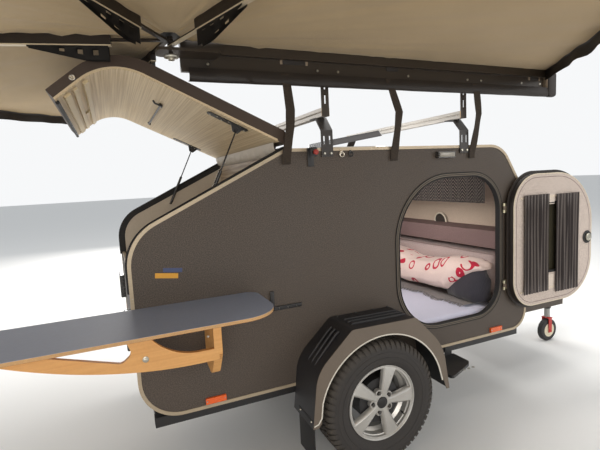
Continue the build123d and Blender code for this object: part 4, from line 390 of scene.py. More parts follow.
clamp_bolts = [spot(station, side * 0.655, 0.403) for side in (-1, 1)
               for station in (0.13, 0.45, 0.80, 1.31, 1.43, 1.93, 2.30, 2.45)]
screws("chassis_bolts", clamp_bolts, (0, 0, -1), 0.009, 0.008, zinc)
shape = bmesh.new()
for side in (-1, 1):
    for station in (-0.062, -0.115):
        turned(shape, [(0, 0.010), (0.006, 0.010), (0.008, 0.006)], (station, side * 0.027, 0.012),
               (0, side, 0), 12)
piece("coupling_bolts", shape, zinc)
piece("coupling_grip", formed(tube, [(-0.145, 0, 0.070), (-0.110, 0, 0.074), (-0.070, 0, 0.072),
                                     (-0.035, 0, 0.062), (-0.020, 0, 0.050)], 0.0125, 12), black_plastic)


# Jockey wheel: a zinc-plated leg in a clamped sleeve, with a painted fork and a small
# solid rubber wheel on a cast hub. It is wound up and down by the crank on top.
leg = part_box("jockey_leg")
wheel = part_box("jockey_wheel")
wheel_middle = (wheel[0] + wheel[1]) / 2


def painted_fork(tree, place, speck):
    apart = axes(tree, place)
    share = calc(tree, "LESS_THAN", apart[2], wheel[1].z + 0.022)
    return two_tone(tree, share, tone(150, 150, 146), tone(176, 40, 30)), speck


def hub_and_tread(tree, place, speck):
    reach = off_axle(tree, place, wheel_middle)
    return two_tone(tree, calc(tree, "LESS_THAN", reach, 0.062), tone(40, 39, 39),
                    tone(214, 204, 178)), speck


dress(finish("jockey_leg_paint", None, 0.36, mottle=0.10, pattern=painted_fork), "jockey_leg")
dress(finish("jockey_wheel_rubber", None, 0.6, mottle=0.12, pattern=hub_and_tread), "jockey_wheel")
shape = bmesh.new()
for k in range(2):
    turned(shape, [(0, 0.030), (0.010, 0.032), (0.012, 0.030)],
           (wheel_middle.x, wheel_middle.y, ground_height + (0.305, 0.545)[k]), (0, 0, 1), 32)
turned(shape, [(0, 0.010), (0.008, 0.013), (0.070, 0.013), (0.078, 0.008)],
       (leg[1].x - 0.012, wheel_middle.y, leg[1].z - 0.079), (0, 0, 1), 20)
piece("jockey_leg_collars", shape, black_plastic, "jockey_leg")


# Wheels: all-terrain tyres on painted five-spoke alloy rims. Each tyre is a moulded
# carcass with rows of tread blocks, and each rim is held by five nuts round a cap.
rings_tree, given = geometry_tree("repeat_round_axle", Shape="Geometry", Count="Int", Centre="Vector",
                                  Turn="Float")
turn = calc(rings_tree, "DIVIDE", 2 * math.pi, given["Count"])
turn = calc(rings_tree, "MULTIPLY_ADD", add(rings_tree, "GeometryNodeInputIndex").outputs[0], turn,
            given["Turn"])
line = add(rings_tree, "GeometryNodeMeshLine",
           {"Count": given["Count"], "Start Location": given["Centre"], "Offset": (0, 0, 0)})
away = add(rings_tree, "ShaderNodeVectorMath", {0: given["Centre"], 3: -1.0}, operation="SCALE").outputs[0]
loose = add(rings_tree, "GeometryNodeTransform", {"Geometry": given["Shape"], "Translation": away})
spread = add(rings_tree, "GeometryNodeInstanceOnPoints",
             {"Points": line.outputs[0], "Instance": loose.outputs[0],
              "Rotation": add(rings_tree, "ShaderNodeCombineXYZ", {1: turn}).outputs[0]})
close_tree(rings_tree, spread, given["Surface"])


def ring_of(name, shape, count, centre, surface, body, first=0.0):
    """Repeat a shape round an axle by Geometry Nodes and keep it as a plain mesh."""
    bmesh.ops.recalc_face_normals(shape, faces=shape.faces)
    mesh = bpy.data.meshes.new(name + "_one")
    shape.to_mesh(mesh)
    shape.free()
    turns = {"Count": count, "Centre": tuple(centre), "Turn": first, "Surface": surface}
    return grown(name, mesh, rings_tree, turns, body)


def hoop(shape, profile, centre, side, sides=96):
    """Turn a closed profile of (distance out, radius) about the axle."""
    rings = []
    for k in range(sides):
        turn = 2 * math.pi * k / sides
        rings.append([
            Vector(centre) + Vector((radius * math.cos(turn), side * out, radius * math.sin(turn)))
            for out, radius in profile
        ])
    loft(shape, rings + [rings[0]], caps=False)
    bmesh.ops.remove_doubles(shape, verts=shape.verts, dist=1e-6)


def sidewall(tree, place, speck):
    """Dusty rubber with fine rings about the axle."""
    reach = off_axle(tree, place, axle)
    dust = ramp(tree, reach, 0.30, 0.345, 0.15, 0.75)
    dust = calc(tree, "MULTIPLY", dust, speck)
    ridges = wave(tree, reach, 1800.0)
    return (two_tone(tree, dust, tone(47, 45, 45), tone(106, 96, 84)),
            calc(tree, "MULTIPLY_ADD", ridges, 0.18, speck))


axle = spot(1.212, 0, 0.345)
tyre_rubber = finish("tyre_rubber", None, 0.78, mottle=0.12, grain=160, relief=0.35, pattern=sidewall)
alloy = finish("painted_alloy", tone(186, 183, 178), 0.34, metallic=0.55, mottle=0.07, grain=70,
               relief=0.05,
               coat_weight=0.25)
nut_steel = finish("wheel_nut_steel", tone(92, 90, 88), 0.35, metallic=0.9, mottle=0.15)
CARCASS = (
    (0.7510, 0.1925), (0.7505, 0.2120), (0.7380, 0.2260), (0.7290, 0.2450), (0.7262, 0.2700),
    (0.7275, 0.2960), (0.7330, 0.3160), (0.7440, 0.3290), (0.7580, 0.3350), (0.7900, 0.3372),
    (0.8325, 0.3376), (0.8750, 0.3372), (0.9070, 0.3350), (0.9210, 0.3290), (0.9320, 0.3160),
    (0.9375, 0.2960), (0.9372, 0.2880), (0.9388, 0.2870), (0.9390, 0.2780), (0.9378, 0.2770),
    (0.9372, 0.2600), (0.9392, 0.2590), (0.9392, 0.2560), (0.9370, 0.2550), (0.9350, 0.2420),
    (0.9270, 0.2260), (0.9200, 0.2170), (0.9185, 0.2125), (0.9145, 0.2110), (0.9140, 0.1925),
    (0.9040, 0.1925), (0.9040, 0.2050), (0.9260, 0.2500), (0.9240, 0.3000), (0.9000, 0.3220),
    (0.7650, 0.3220), (0.7410, 0.3000), (0.7390, 0.2500), (0.7610, 0.2050), (0.7610, 0.1925),
)
BARREL = (
    (0.9220, 0.2090), (0.9225, 0.2070), (0.9200, 0.2040), (0.9140, 0.2015), (0.9110, 0.1980),
    (0.9090, 0.1935), (0.9000, 0.1905), (0.8980, 0.1860), (0.8820, 0.1845), (0.8640, 0.1835),
    (0.8500, 0.1660), (0.8120, 0.1640), (0.8000, 0.1820), (0.7450, 0.1850), (0.7430, 0.2090),
    (0.7500, 0.2090), (0.7505, 0.1920), (0.8010, 0.1915), (0.8130, 0.1720), (0.8510, 0.1725),
    (0.8650, 0.1915), (0.9145, 0.1920), (0.9150, 0.2090),
)
SPOKE = ((0.030, 0.0190, 0.9150), (0.062, 0.0215, 0.9185), (0.100, 0.0275, 0.9205), (0.145, 0.0345, 0.9200),
         (0.180, 0.0410, 0.9175), (0.194, 0.0455, 0.9160), (0.2005, 0.0500, 0.9140))
for side_name, side in SIDES:
    body = f"wheel_{side_name}"
    carcass = piece(f"tyre_carcass_{side_name}", formed(hoop, CARCASS, axle, side, 120), tyre_rubber, body)
    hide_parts(f"tyre_{side_name}")
    for row, (out, half_width, half_length, first) in enumerate((
            (0.7960, 0.0150, 0.0125, 0.0), (0.8325, 0.0150, 0.0125, 0.5), (0.8690, 0.0150, 0.0125, 0.0))):
        shape = bmesh.new()
        skew = (0.004, -0.004, 0.004)[row]
        low, high = [], []
        for a, b in ((-1, -1), (1, -1), (1, 1), (-1, 1)):
            low.append(axle + Vector((a * half_length + b * skew, side * (out + b * half_width), 0.3355)))
            high.append(axle + Vector((a * half_length * 0.88 + b * skew,
                                       side * (out + b * half_width * 0.9), 0.3445)))
        loft(shape, [low, high])
        ring_of(f"tread_row_{row + 1}_{side_name}", shape, 60, axle, tyre_rubber, body,
                first * math.pi / 30)
    for end, first in ((-1, 0.5), (1, 0.0)):
        shape = bmesh.new()
        rows = []
        for a in (-1, 1):
            rows.append([
                axle + Vector((a * length, side * (0.8325 + end * out), height))
                for out, height, length in (
                    (0.0560, 0.3360, 0.0125), (0.0560, 0.3445, 0.0115), (0.0790, 0.3438, 0.0120),
                    (0.0930, 0.3350, 0.0120), (0.1035, 0.3160, 0.0095), (0.1050, 0.3040, 0.0080),
                    (0.0980, 0.3060, 0.0100))
            ])
        loft(shape, rows)
        ring_of(f"shoulder_blocks_{'inner' if end < 0 else 'outer'}_{side_name}", shape, 60, axle,
                tyre_rubber, body, first * math.pi / 30)

    barrel = piece(f"rim_barrel_{side_name}", formed(hoop, BARREL, axle, side, 96), alloy, body)
    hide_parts(f"rim_{side_name}")
    shape = bmesh.new()
    sections = []
    for reach, half, face in SPOKE:
        sections.append([
            axle + Vector((reach, side * out, across))
            for out, across in (
                (0.889, -half - 0.002), (face - 0.012, -half - 0.001), (face - 0.004, -half + 0.005),
                (face, -half + 0.011), (face - 0.001, 0), (face, half - 0.011),
                (face - 0.004, half - 0.005),
                (face - 0.012, half + 0.001), (0.889, half + 0.002))
        ])
    loft(shape, sections)
    ring_of(f"rim_spokes_{side_name}", shape, 5, axle, alloy, body)
    piece(f"rim_hub_{side_name}", formed(turned, [(0.887, 0.052), (0.910, 0.050), (0.9135, 0.047),
            (0.9145, 0.040), (0.9145, 0.0335), (0.9120, 0.0325), (0.9100, 0)], axle, (0, side, 0), 60),
            alloy, body)
    lobe = axle + Vector((0.056 * math.cos(math.radians(36)), 0, 0.056 * math.sin(math.radians(36))))
    ring_of(f"rim_lobes_{side_name}", formed(turned, [(0.887, 0.021), (0.9110, 0.0205), (0.9135, 0.0185),
            (0.9135, 0.0150), (0.9030, 0.0140), (0.9030, 0)], lobe, (0, side, 0), 28), 5, axle, alloy, body)
    ring_of(f"wheel_nuts_{side_name}", formed(turned, [(0.9025, 0.0120), (0.9050, 0.0105), (0.9140, 0.0100),
            (0.9185, 0.0085), (0.9195, 0.0030)], lobe, (0, side, 0), 6), 5, axle, nut_steel, body)
    piece(f"wheel_cap_{side_name}", formed(turned, [(0.9090, 0.0315), (0.9170, 0.0315), (0.9190, 0.0295),
            (0.9180, 0.0265), (0.9195, 0.0240), (0.9210, 0.0120), (0.9212, 0.0)], axle, (0, side, 0), 48),
            black_plastic, body)
    stem = math.radians(-36)
    piece(f"tyre_valve_{side_name}", formed(tube, [axle + Vector((reach * math.cos(stem), side * out,
            reach * math.sin(stem))) for reach, out in ((0.186, 0.878), (0.180, 0.892), (0.174, 0.906),
            (0.170, 0.918))], 0.0045, 10), rubber, body)


# Fenders: thermoformed plastic mudguards with a coated outer face, their tops and inner faces painted near
# black as shade, a soft white bead pressed over the arch and the rear hook, and a rubber flap riveted on
# behind.
def fender_face_and_painted_shade(tree, place, speck):
    apart = axes(tree, place)
    out = calc(tree, "ABSOLUTE", apart[1])
    # painted shade: everything inward of the outer face, the top and its ribs included, is painted near
    # black for the shade on it
    share = calc(tree, "GREATER_THAN", out, 0.9455)
    return two_tone(tree, share, tone(42, 41, 43), tone(102, 91, 80)), speck


fender_plastic_with_painted_shade = finish("fender_plastic_with_painted_shade", None, 0.55, mottle=0.12, grain=230, relief=0.5,
                        pattern=fender_face_and_painted_shade)
white_bead = finish("white_vinyl_bead", tone(214, 208, 196), 0.5, mottle=0.08)
dress(fender_plastic_with_painted_shade, "fender_right", "fender_left")
for side_name, side in SIDES:
    y = side * 0.9485
    shape = bmesh.new()
    path = about(1.212, 0.345, 0.390, 20, 164, y, 49)
    path = [spot(1.602, y, 0.395)] + path + [spot(0.828, y, 0.380), spot(0.808, y, 0.352),
            spot(0.784, y, 0.345)]
    tube(shape, path, 0.0042, 8)
    piece(f"fender_bead_{side_name}", shape, white_bead)
    shape = bmesh.new()
    for out in (0.792, 0.832, 0.872):
        tube(shape, [spot(station, side * out, height) for station, height in (
            (1.062, 0.7970), (1.070, 0.8005), (1.090, 0.8010), (1.230, 0.7985), (1.380, 0.7960),
            (1.396, 0.7953), (1.402, 0.7920))], 0.0085, 10)
    for out in (0.792, 0.832, 0.872):
        tube(shape, [spot(station, side * out, height) for station, height in (
            (0.985, 0.7760), (0.965, 0.7620), (0.900, 0.6950), (0.848, 0.6360), (0.842, 0.6220))], 0.0075,
            10)
    piece(f"fender_ribs_{side_name}", shape, fender_plastic_with_painted_shade)
    piece(f"mudflap_{side_name}", formed(block, spot(0.783, side * 0.945, 0.150),
            spot(0.789, side * 0.760, 0.372), 0.0015), rubber)
    screws(f"mudflap_rivets_{side_name}", [spot(0.7825, side * out, 0.358) for out in (0.785, 0.920)],
           (-1, 0, 0), 0.006, 0.004, zinc)
    screws(f"fender_screws_{side_name}", [spot(station, side * 0.716, 0.799) for station in (1.06, 1.18,
            1.30, 1.40)],
           (0, 0, 1), 0.007, 0.005, black_steel)


# Body shell: flat sandwich panels with a stippled polyurea coating outside and a pale
# smooth face inside. The roof, nose and floor are panels of the same kind.
INNER_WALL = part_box("side_wall_right")[1].y


def coating(tree, place, scale, detail, low, high):
    """Raised grains on a darker ground: their colour and their height."""
    grit = noise_at(tree, place, scale, detail)
    return two_tone(tree, ramp(tree, grit, 0.42, 0.60), low, high), grit


def stipple(tree, place, speck):
    """Raised coating outside, and a pale laminate on the faces that look inward."""
    coat, grit = coating(tree, place, 210.0, 3.0, tone(60, 53, 48), tone(88, 77, 67))
    out = calc(tree, "ABSOLUTE", axes(tree, place)[1])
    inside = calc(tree, "LESS_THAN", out, abs(INNER_WALL) + 0.0006)
    height = calc(tree, "MULTIPLY", grit, calc(tree, "SUBTRACT", 1.15, inside))
    return two_tone(tree, inside, coat, tone(186, 174, 158)), height


def stipple_only(tree, place, speck):
    return coating(tree, place, 210.0, 3.0, tone(60, 53, 48), tone(88, 77, 67))


def brushed(low, high):
    def lines(tree, place, speck):
        drawn = stretched(tree, place, (14.0, 420.0, 420.0))
        fibre = noise_at(tree, drawn, 1.0, 2.0)
        return two_tone(tree, fibre, low, high), fibre
    return lines


wall_coating = finish("stippled_wall_coating", None, 0.58, mottle=0.09, relief=0.9, pattern=stipple)
panel_coating = finish("stippled_panel_coating", None, 0.58, mottle=0.09, relief=0.9, pattern=stipple_only)
edging = finish("champagne_aluminium", None, 0.38, metallic=0.35, mottle=0.05, relief=0.06,
                pattern=brushed(tone(160, 144, 122), tone(186, 170, 146)))
dress(wall_coating, "side_wall_right", "side_wall_left")
dress(panel_coating, "roof_and_nose", "rear_panel", "floor_panel")
dress(edging, "edge_trims")


def rounded(corners, radii, steps=10):
    """A flat outline with each corner turned into an arc of its own radius."""
    line = []
    for k, corner in enumerate(corners):
        here = Vector(corner)
        back = (Vector(corners[k - 1]) - here).normalized()
        ahead = (Vector(corners[(k + 1) % len(corners)]) - here).normalized()
        half = math.acos(max(-1, min(1, back.dot(ahead)))) / 2
        if not radii[k]:
            line.append(here)
            continue
        reach = radii[k] / math.tan(half)
        middle = here + (back + ahead).normalized() * (radii[k] / math.sin(half))
        first, last = here + back * reach - middle, here + ahead * reach - middle
        turn = math.atan2(first.cross(last), first.dot(last)) if len(first) == 2 else 0
        for j in range(steps + 1):
            part = turn * j / steps
            line.append(middle + Vector((first.x * math.cos(part) - first.y * math.sin(part),
                                         first.x * math.sin(part) + first.y * math.cos(part))))
    return line


def stepped_in(corners, radii, inset):
    """The same outline stepped in, as corners and radii."""
    moved = []
    for k, corner in enumerate(corners):
        here = Vector(corner)
        arriving = (here - Vector(corners[k - 1])).normalized()
        leaving = (Vector(corners[(k + 1) % len(corners)]) - here).normalized()
        normal = Vector((-arriving.y - leaving.y, arriving.x + leaving.x))
        moved.append(here + normal * (inset / (1 + arriving.dot(leaving))))
    return moved, [radius - inset for radius in radii]


BODY = ((0, 0.455), (2.580, 0.455), (2.580, 1.385), (2.353, 1.735), (0.806, 1.735), (0, 1.3454))
BENDS = (0.200, 0.130, 0.400, 0.190, 0.060, 0.230)
EDGE = rounded(BODY, BENDS, 12)

for side_name, side in SIDES:
    shape = bmesh.new()
    run = [point for point in EDGE if point.x < 0.86 and point.y > 1.10]
    run.append(Vector((0.0, 1.115)))
    run.append(Vector((0.0, 1.085)))
    proud = [0.009 if point.x > 0.2 else 0.0045 for point in run]
    path = []
    for point, lift in zip(run, proud):
        outward = Vector((-0.43, 0.90)) if point.x > 0.15 else Vector((-1, 0.1)).normalized()
        path.append(spot(point.x + outward.x * lift, side * 0.6795, point.y + outward.y * lift))
    tube(shape, path, 0.0075, 10)
    piece(f"hatch_seal_{side_name}", shape, rubber)
    shape = bmesh.new()
    rings = []
    for k, point in enumerate(run):
        ahead = (run[min(k + 1, len(run) - 1)] - run[max(k - 1, 0)]).normalized()
        inward = Vector((-ahead.y, ahead.x))
        if inward.dot(Vector((1.29, 1.05)) - point) < 0:
            inward = -inward
        rings.append([spot(q.x, side * y, q.y) for q, y in (
            (point - inward * 0.0006, 0.6760), (point - inward * 0.0006, 0.6692),
            (point + inward * 0.0300, 0.6680), (point + inward * 0.0320, 0.6697))])
    loft(shape, rings)
    piece(f"wall_edge_channel_{side_name}", shape, rubber)
    trim_screws = []
    for a, b in zip(EDGE, EDGE[1:] + EDGE[:1]):
        length = (b - a).length
        for k in range(int(length / 0.20)):
            trim_screws.append(a + (b - a) * ((k + 0.5) / int(length / 0.20)))
    heart = Vector((1.29, 1.095))
    inset = [point - (point - heart).normalized() * 0.0085 for point in trim_screws]
    screws(f"edging_rivets_{side_name}", [spot(point.x, side * 0.7032, point.y) for point in inset],
           (0, side, 0), 0.0028, 0.0022, zinc)


# Lining of the cabin: a pale grey-beige needle felt glued round the roof and the nose.
def felt(low, high, scale=420.0):
    def fibres(tree, place, speck):
        fuzz = noise_at(tree, place, scale, 4.0, 1.2)
        share = ramp(tree, fuzz, 0.35, 0.65)
        return two_tone(tree, share, low, high), fuzz
    return fibres


lining_felt = finish("cabin_lining_felt", None, 0.93, mottle=0.06, relief=0.6,
                     pattern=felt(tone(190, 170, 152), tone(214, 196, 178)), sheen_weight=0.25)
corners, bends = stepped_in(BODY, BENDS, 0.0312)
nose_run = [point for point in rounded(corners, bends,
                                       14) if point.x > 0.80 and (point.x > 2.46 or point.y > 1.2)]
nose_run.sort(key=lambda point: math.atan2(point.y - 1.0, point.x - 1.3))
tidy_run = []
for a, b in zip(nose_run, nose_run[1:] + [Vector((0.803, 1.7038))]):
    cuts = [0, 1]
    for station in (1.372, 1.748):
        if (a.x - station) * (b.x - station) < 0:
            cuts.append((station - a.x) / (b.x - a.x))
    tidy_run += [a + (b - a) * cut for cut in sorted(cuts)[:-1]]
tidy_run.append(Vector((0.803, 1.7038)))
shape = bmesh.new()
ys = (-0.6685, -0.188, 0.188, 0.6685)
grid = [[shape.verts.new(spot(point.x, y, point.y)) for y in ys] for point in tidy_run]
for (a, row), (b, after) in zip(zip(tidy_run, grid), zip(tidy_run[1:], grid[1:])):
    for k in range(3):
        if k == 1 and a.y > 1.70 and 1.371 < (a.x + b.x) / 2 < 1.749:
            continue
        shape.faces.new((row[k], row[k + 1], after[k + 1], after[k]))
bmesh.ops.recalc_face_normals(shape, faces=shape.faces)
bmesh.ops.solidify(shape, geom=shape.faces[:], thickness=0.0015)
piece("cabin_lining", shape, lining_felt, "trailer", 50)


# Small things on the right wall: an accessory rail bent in an L, two pad eyes, a folded
# bracket with a clamp knob, and two plain vinyl stripes near the rear.
shape = bmesh.new()
block(shape, spot(0.676, -0.712, 0.893), spot(0.852, -0.700, 0.913), 0.002)
block(shape, spot(0.676, -0.712, 0.893), spot(0.697, -0.700, 0.998), 0.002)
block(shape, spot(0.682, -0.7165, 0.900), spot(0.846, -0.7105, 0.906), 0.001)
block(shape, spot(0.683, -0.7165, 0.905), spot(0.690, -0.7105, 0.992), 0.001)
piece("accessory_rail", shape, black_steel)
screws("accessory_rail_screws", [spot(station, -0.7135, 0.903) for station in (0.72, 0.77, 0.82)],
       (0, -1, 0), 0.004, 0.003, zinc)
light_eye = finish("polished_steel_eye", tone(206, 198, 184), 0.25, metallic=0.85)
for label, station, surface in (("front", 1.193, black_steel), ("rear", 1.136, light_eye)):
    shape = bmesh.new()
    loop = [spot(station + 0.013 * math.cos(turn), -0.712, 1.700 + 0.013 * math.sin(turn))
            for turn in (2 * math.pi * k / 20 for k in range(20))]
    tube(shape, loop, 0.0032, 8, closed=True)
    turned(shape, [(0.0, 0.010), (0.004, 0.010), (0.006, 0.006), (0.009, 0.005)],
           spot(station, -0.703, 1.713), (0, -1, 0), 16)
    piece(f"pad_eye_{label}", shape, surface)
shape = bmesh.new()
block(shape, spot(0.930, -0.708, 1.640), spot(0.966, -0.703, 1.738), 0.001)
block(shape, spot(0.930, -0.752, 1.733), spot(0.966, -0.703, 1.738), 0.001)
block(shape, spot(0.930, -0.752, 1.690), spot(0.966, -0.747, 1.738), 0.001)
piece("knob_bracket", shape, black_steel)
red_paint = finish("red_knob_plastic", tone(150, 44, 34), 0.4, mottle=0.1)
piece("clamp_knob", formed(turned, [(0.0, 0.005), (0.014, 0.005), (0.015, 0.013), (0.026, 0.014),
                                    (0.029, 0.010), (0.029, 0)], spot(0.948, -0.752, 1.712), (0, -1, 0),
                                    14), red_paint)
for label, corners, colour in (
        ("blue", ((0.152, 1.172), (0.240, 1.161), (0.242, 1.181), (0.154, 1.192)), tone(60, 70, 106)),
        ("orange", ((0.114, 1.148), (0.219, 1.134), (0.221, 1.158), (0.116, 1.172)), tone(210, 150, 44))):
    piece(f"vinyl_stripe_{label}", formed(loft, [[spot(x, y, z) for x, z in corners] for y in (-0.7002,
            -0.7010)]), finish(f"{label}_vinyl", colour, 0.4, mottle=0.08))


# Side marker reflectors of ribbed orange acrylic at the sill, and a slim entry lamp with
# a smoked cover above each door. They are one moulded set a side, bonded to the wall.
def lenses(tree, place, speck):
    apart = axes(tree, place)
    share = calc(tree, "GREATER_THAN", apart[2], ground_height + 1.0)
    ribs = wave(tree, apart[0], 900.0)
    rows = wave(tree, apart[2], 900.0)
    return (two_tone(tree, share, tone(236, 96, 26), tone(58, 55, 52)),
            calc(tree, "MULTIPLY", ribs, rows))


dress(finish("reflector_acrylic", None, 0.22, mottle=0.06, relief=0.5, pattern=lenses, coat_weight=0.5),
      "side_lights")
for side_name, side in SIDES:
    piece(f"entry_lamp_lens_{side_name}", formed(block, spot(1.802, side * 0.727, 1.668),
            spot(1.918, side * 0.734, 1.694), 0.003), finish(f"lamp_lens_{side_name}", tone(148, 142, 132),
            0.2, mottle=0.1, coat_weight=0.4))
    screws(f"reflector_screws_{side_name}", [spot(station + end * 0.045, side * 0.7125, 0.490)
                                             for station in (0.356, 2.290) for end in (-1, 1)],
           (0, side, 0), 0.0035, 0.002, zinc)


# Tail light clusters with a red lens over a clear one in a black housing, bonded to the
# rear panel, a round red reflector beside each, and a lip across the panel's top.
def cluster(tree, place, speck):
    apart = axes(tree, place)
    h = calc(tree, "SUBTRACT", apart[2], ground_height)
    out = calc(tree, "ABSOLUTE", calc(tree, "SUBTRACT", calc(tree, "ABSOLUTE", apart[1]), 0.555))
    lens = calc(tree, "LESS_THAN", out, 0.076)
    lens = calc(tree, "MULTIPLY", lens, calc(tree, "LESS_THAN", calc(tree, "ABSOLUTE",
            calc(tree, "SUBTRACT", h, 0.880)), 0.071))
    red = calc(tree, "GREATER_THAN", h, 0.872)
    band = calc(tree, "LESS_THAN", calc(tree, "ABSOLUTE", calc(tree, "SUBTRACT", h, 0.872)), 0.003)
    lit = two_tone(tree, red, tone(222, 204, 178), tone(186, 60, 48))
    lit = two_tone(tree, band, lit, tone(40, 38, 38))
    ribs = wave(tree, apart[1], 700.0)
    rows = wave(tree, apart[2], 700.0)
    return two_tone(tree, lens, tone(38, 36, 36), lit), calc(tree, "MULTIPLY", ribs, rows)


dress(finish("tail_cluster_acrylic", None, 0.24, mottle=0.05, relief=0.4, pattern=cluster, coat_weight=0.5),
      "tail_lights")
for side_name, side in SIDES:
    piece(f"rear_reflector_{side_name}", formed(turned, [(0, 0.022), (0.005, 0.022), (0.007, 0.018),
            (0.008, 0)], spot(0.006, side * 0.600, 0.700), (-1, 0, 0), 32),
            finish(f"red_reflector_{side_name}", tone(176, 44, 36), 0.25, coat_weight=0.5))
piece("rear_panel_lip", formed(tube, [spot(0.015, -0.668, 1.097), spot(0.015, 0.668, 1.097)], 0.011, 10,
                               flat=0.45), edging)


# Doors: moulded leaves with a stippled outer skin and a black moulded edge, lined with a
# grey-beige felt that is bound with pale piping. Each hangs on two alloy hinges, closes on
# two rubber seals round its opening and has one window with a pair of pleated curtains.
DOORWAY = ((1.507, 0.613), (2.326, 0.613), (2.326, 1.542), (1.507, 1.542))
DOORWAY_BENDS = (0.300, 0.200, 0.230, 0.380)
LEAF = ((0.027, 0.613), (0.846, 0.613), (0.846, 1.542), (0.027, 1.542))
LEAF_BENDS = (0.200, 0.300, 0.380, 0.230)
HUNG = {}
for side_name, side, opened in (("right", -1, 180), ("left", 1, 0)):
    turn = math.radians(opened)
    across = Vector((-math.cos(turn), side * math.sin(turn), 0))
    HUNG[side_name] = (side, spot(2.353, side * 0.716, 0.0), across, Vector((across.y, -across.x,
            0)) * -side)


def on_leaf(side_name, along, depth, height):
    """A place on a door leaf: from its hinge pin, inward from its skin, above the ground."""
    side, pin, across, inward = HUNG[side_name]
    return pin + across * along + inward * depth + Vector((0, 0, height))


def outline_of(corners, bends, inset, steps=8):
    points, radii = stepped_in(corners, bends, inset)
    return rounded(points, radii, steps)


def leaf_skin(side_name):
    """Stippled coating on the outer skin, smooth black on the moulded edge."""
    side, pin, across, inward = HUNG[side_name]

    def skin(tree, place, speck):
        coat, grit = coating(tree, place, 320.0, 2.0, tone(80, 70, 60), tone(112, 97, 82))
        off = add(tree, "ShaderNodeVectorMath", {0: place, 1: tuple(pin)}, operation="SUBTRACT").outputs[0]
        depth = add(tree, "ShaderNodeVectorMath", {0: off, 1: tuple(inward)},
                    operation="DOT_PRODUCT").outputs["Value"]
        edge = calc(tree, "GREATER_THAN", depth, 0.0085)
        return two_tone(tree, edge, coat, tone(44, 38, 34)), grit
    return skin


door_felt = finish("door_lining_felt", None, 0.95, mottle=0.06, relief=0.9, sheen_weight=0.25,
                   pattern=felt(tone(168, 152, 142), tone(216, 200, 188), 260))
smoked_pane = finish("smoked_acrylic_pane", tone(74, 70, 58), 0.10, mottle=0.08, relief=0.02,
                     coat_weight=0.6)
hinge_alloy = finish("hinge_alloy", tone(196, 188, 158), 0.34, metallic=0.7, mottle=0.08)
frame_coating = finish("doorway_frame_coating", tone(96, 86, 74), 0.5, mottle=0.10, relief=0.3)
piping = finish("pale_piping", tone(214, 200, 176), 0.6, mottle=0.08, grain=300)
stitching = finish("dark_stitching", tone(122, 106, 104), 0.85, mottle=0.2, grain=500)
cream_felt = finish("cream_felt_patch", None, 0.95, mottle=0.06, relief=0.5,
                    pattern=felt(tone(196, 180, 166), tone(222, 208, 194)), sheen_weight=0.2)
dress(frame_coating, "door_frames")
dress(hinge_alloy, "door_hinges")
dress(door_felt, "door_lining_right", "door_lining_left")
dress(smoked_pane, "door_window_right", "door_window_left")


def curtain_cloth_with_painted_fold_light(across):
    """Brown-grey cloth with narrow lighter stripes down each pleat, painted as the light that falls on the
    folds.
    """
    def woven(tree, place, speck):
        along = add(tree, "ShaderNodeVectorMath", {0: place, 1: tuple(across)},
                    operation="DOT_PRODUCT").outputs["Value"]
        # painted highlight: lighter stripes at a fixed pitch across the leaf, standing for the lit side of
        # each fold
        band = wave(tree, along, 430.0)
        share = ramp(tree, band, 0.2, 0.75)
        thread = add(tree, "ShaderNodeTexWave", {"Vector": place, "Scale": 420.0, "Distortion": 1.0},
                     bands_direction="Z").outputs["Fac"]
        return two_tone(tree, share, tone(60, 53, 52), tone(112, 104, 100)), thread
    return woven


def curtain(name, side_name, left, right, low, high, surface, seed):
    """A gathered panel: deep pleats that crowd at the two shirred channels."""
    dice = random.Random(seed)
    pleats, rows = 9, 26
    columns = pleats * 8
    sway = [dice.uniform(-0.5, 0.5) for k in range(pleats + 1)]
    depths = [dice.uniform(0.72, 1.1) for k in range(pleats + 1)]
    shape = bmesh.new()
    grid = []
    for j in range(rows + 1):
        height = low + (high - low) * j / rows
        from_end = min(height - low, high - height)
        fullness = 0.55 + 0.45 * min(1, max(0, from_end - 0.018) / 0.10)
        if 0.010 < from_end < 0.022:
            fullness = 0.35
        line = []
        for k in range(columns + 1):
            u = k / columns
            pleat = u * pleats
            whole = min(int(pleat), pleats - 1)
            rest = pleat - whole
            lean = sway[whole] * (1 - rest) + sway[whole + 1] * rest
            deep = depths[whole] * (1 - rest) + depths[whole + 1] * rest
            phase = 2 * math.pi * pleat + lean * 2.2 * math.sin(3.0 * j / rows + whole * 0.4)
            along = left + (right - left) * u + 0.0035 * math.cos(phase) * fullness
            depth = 0.0600 + 0.0095 * deep * fullness * math.sin(phase)
            line.append(on_leaf(side_name, along, depth, height))
        grid.append(line)
    loft(shape, grid, closed=False)
    cloth = piece(name, shape, surface, f"door_{side_name}", 60)
    return cloth


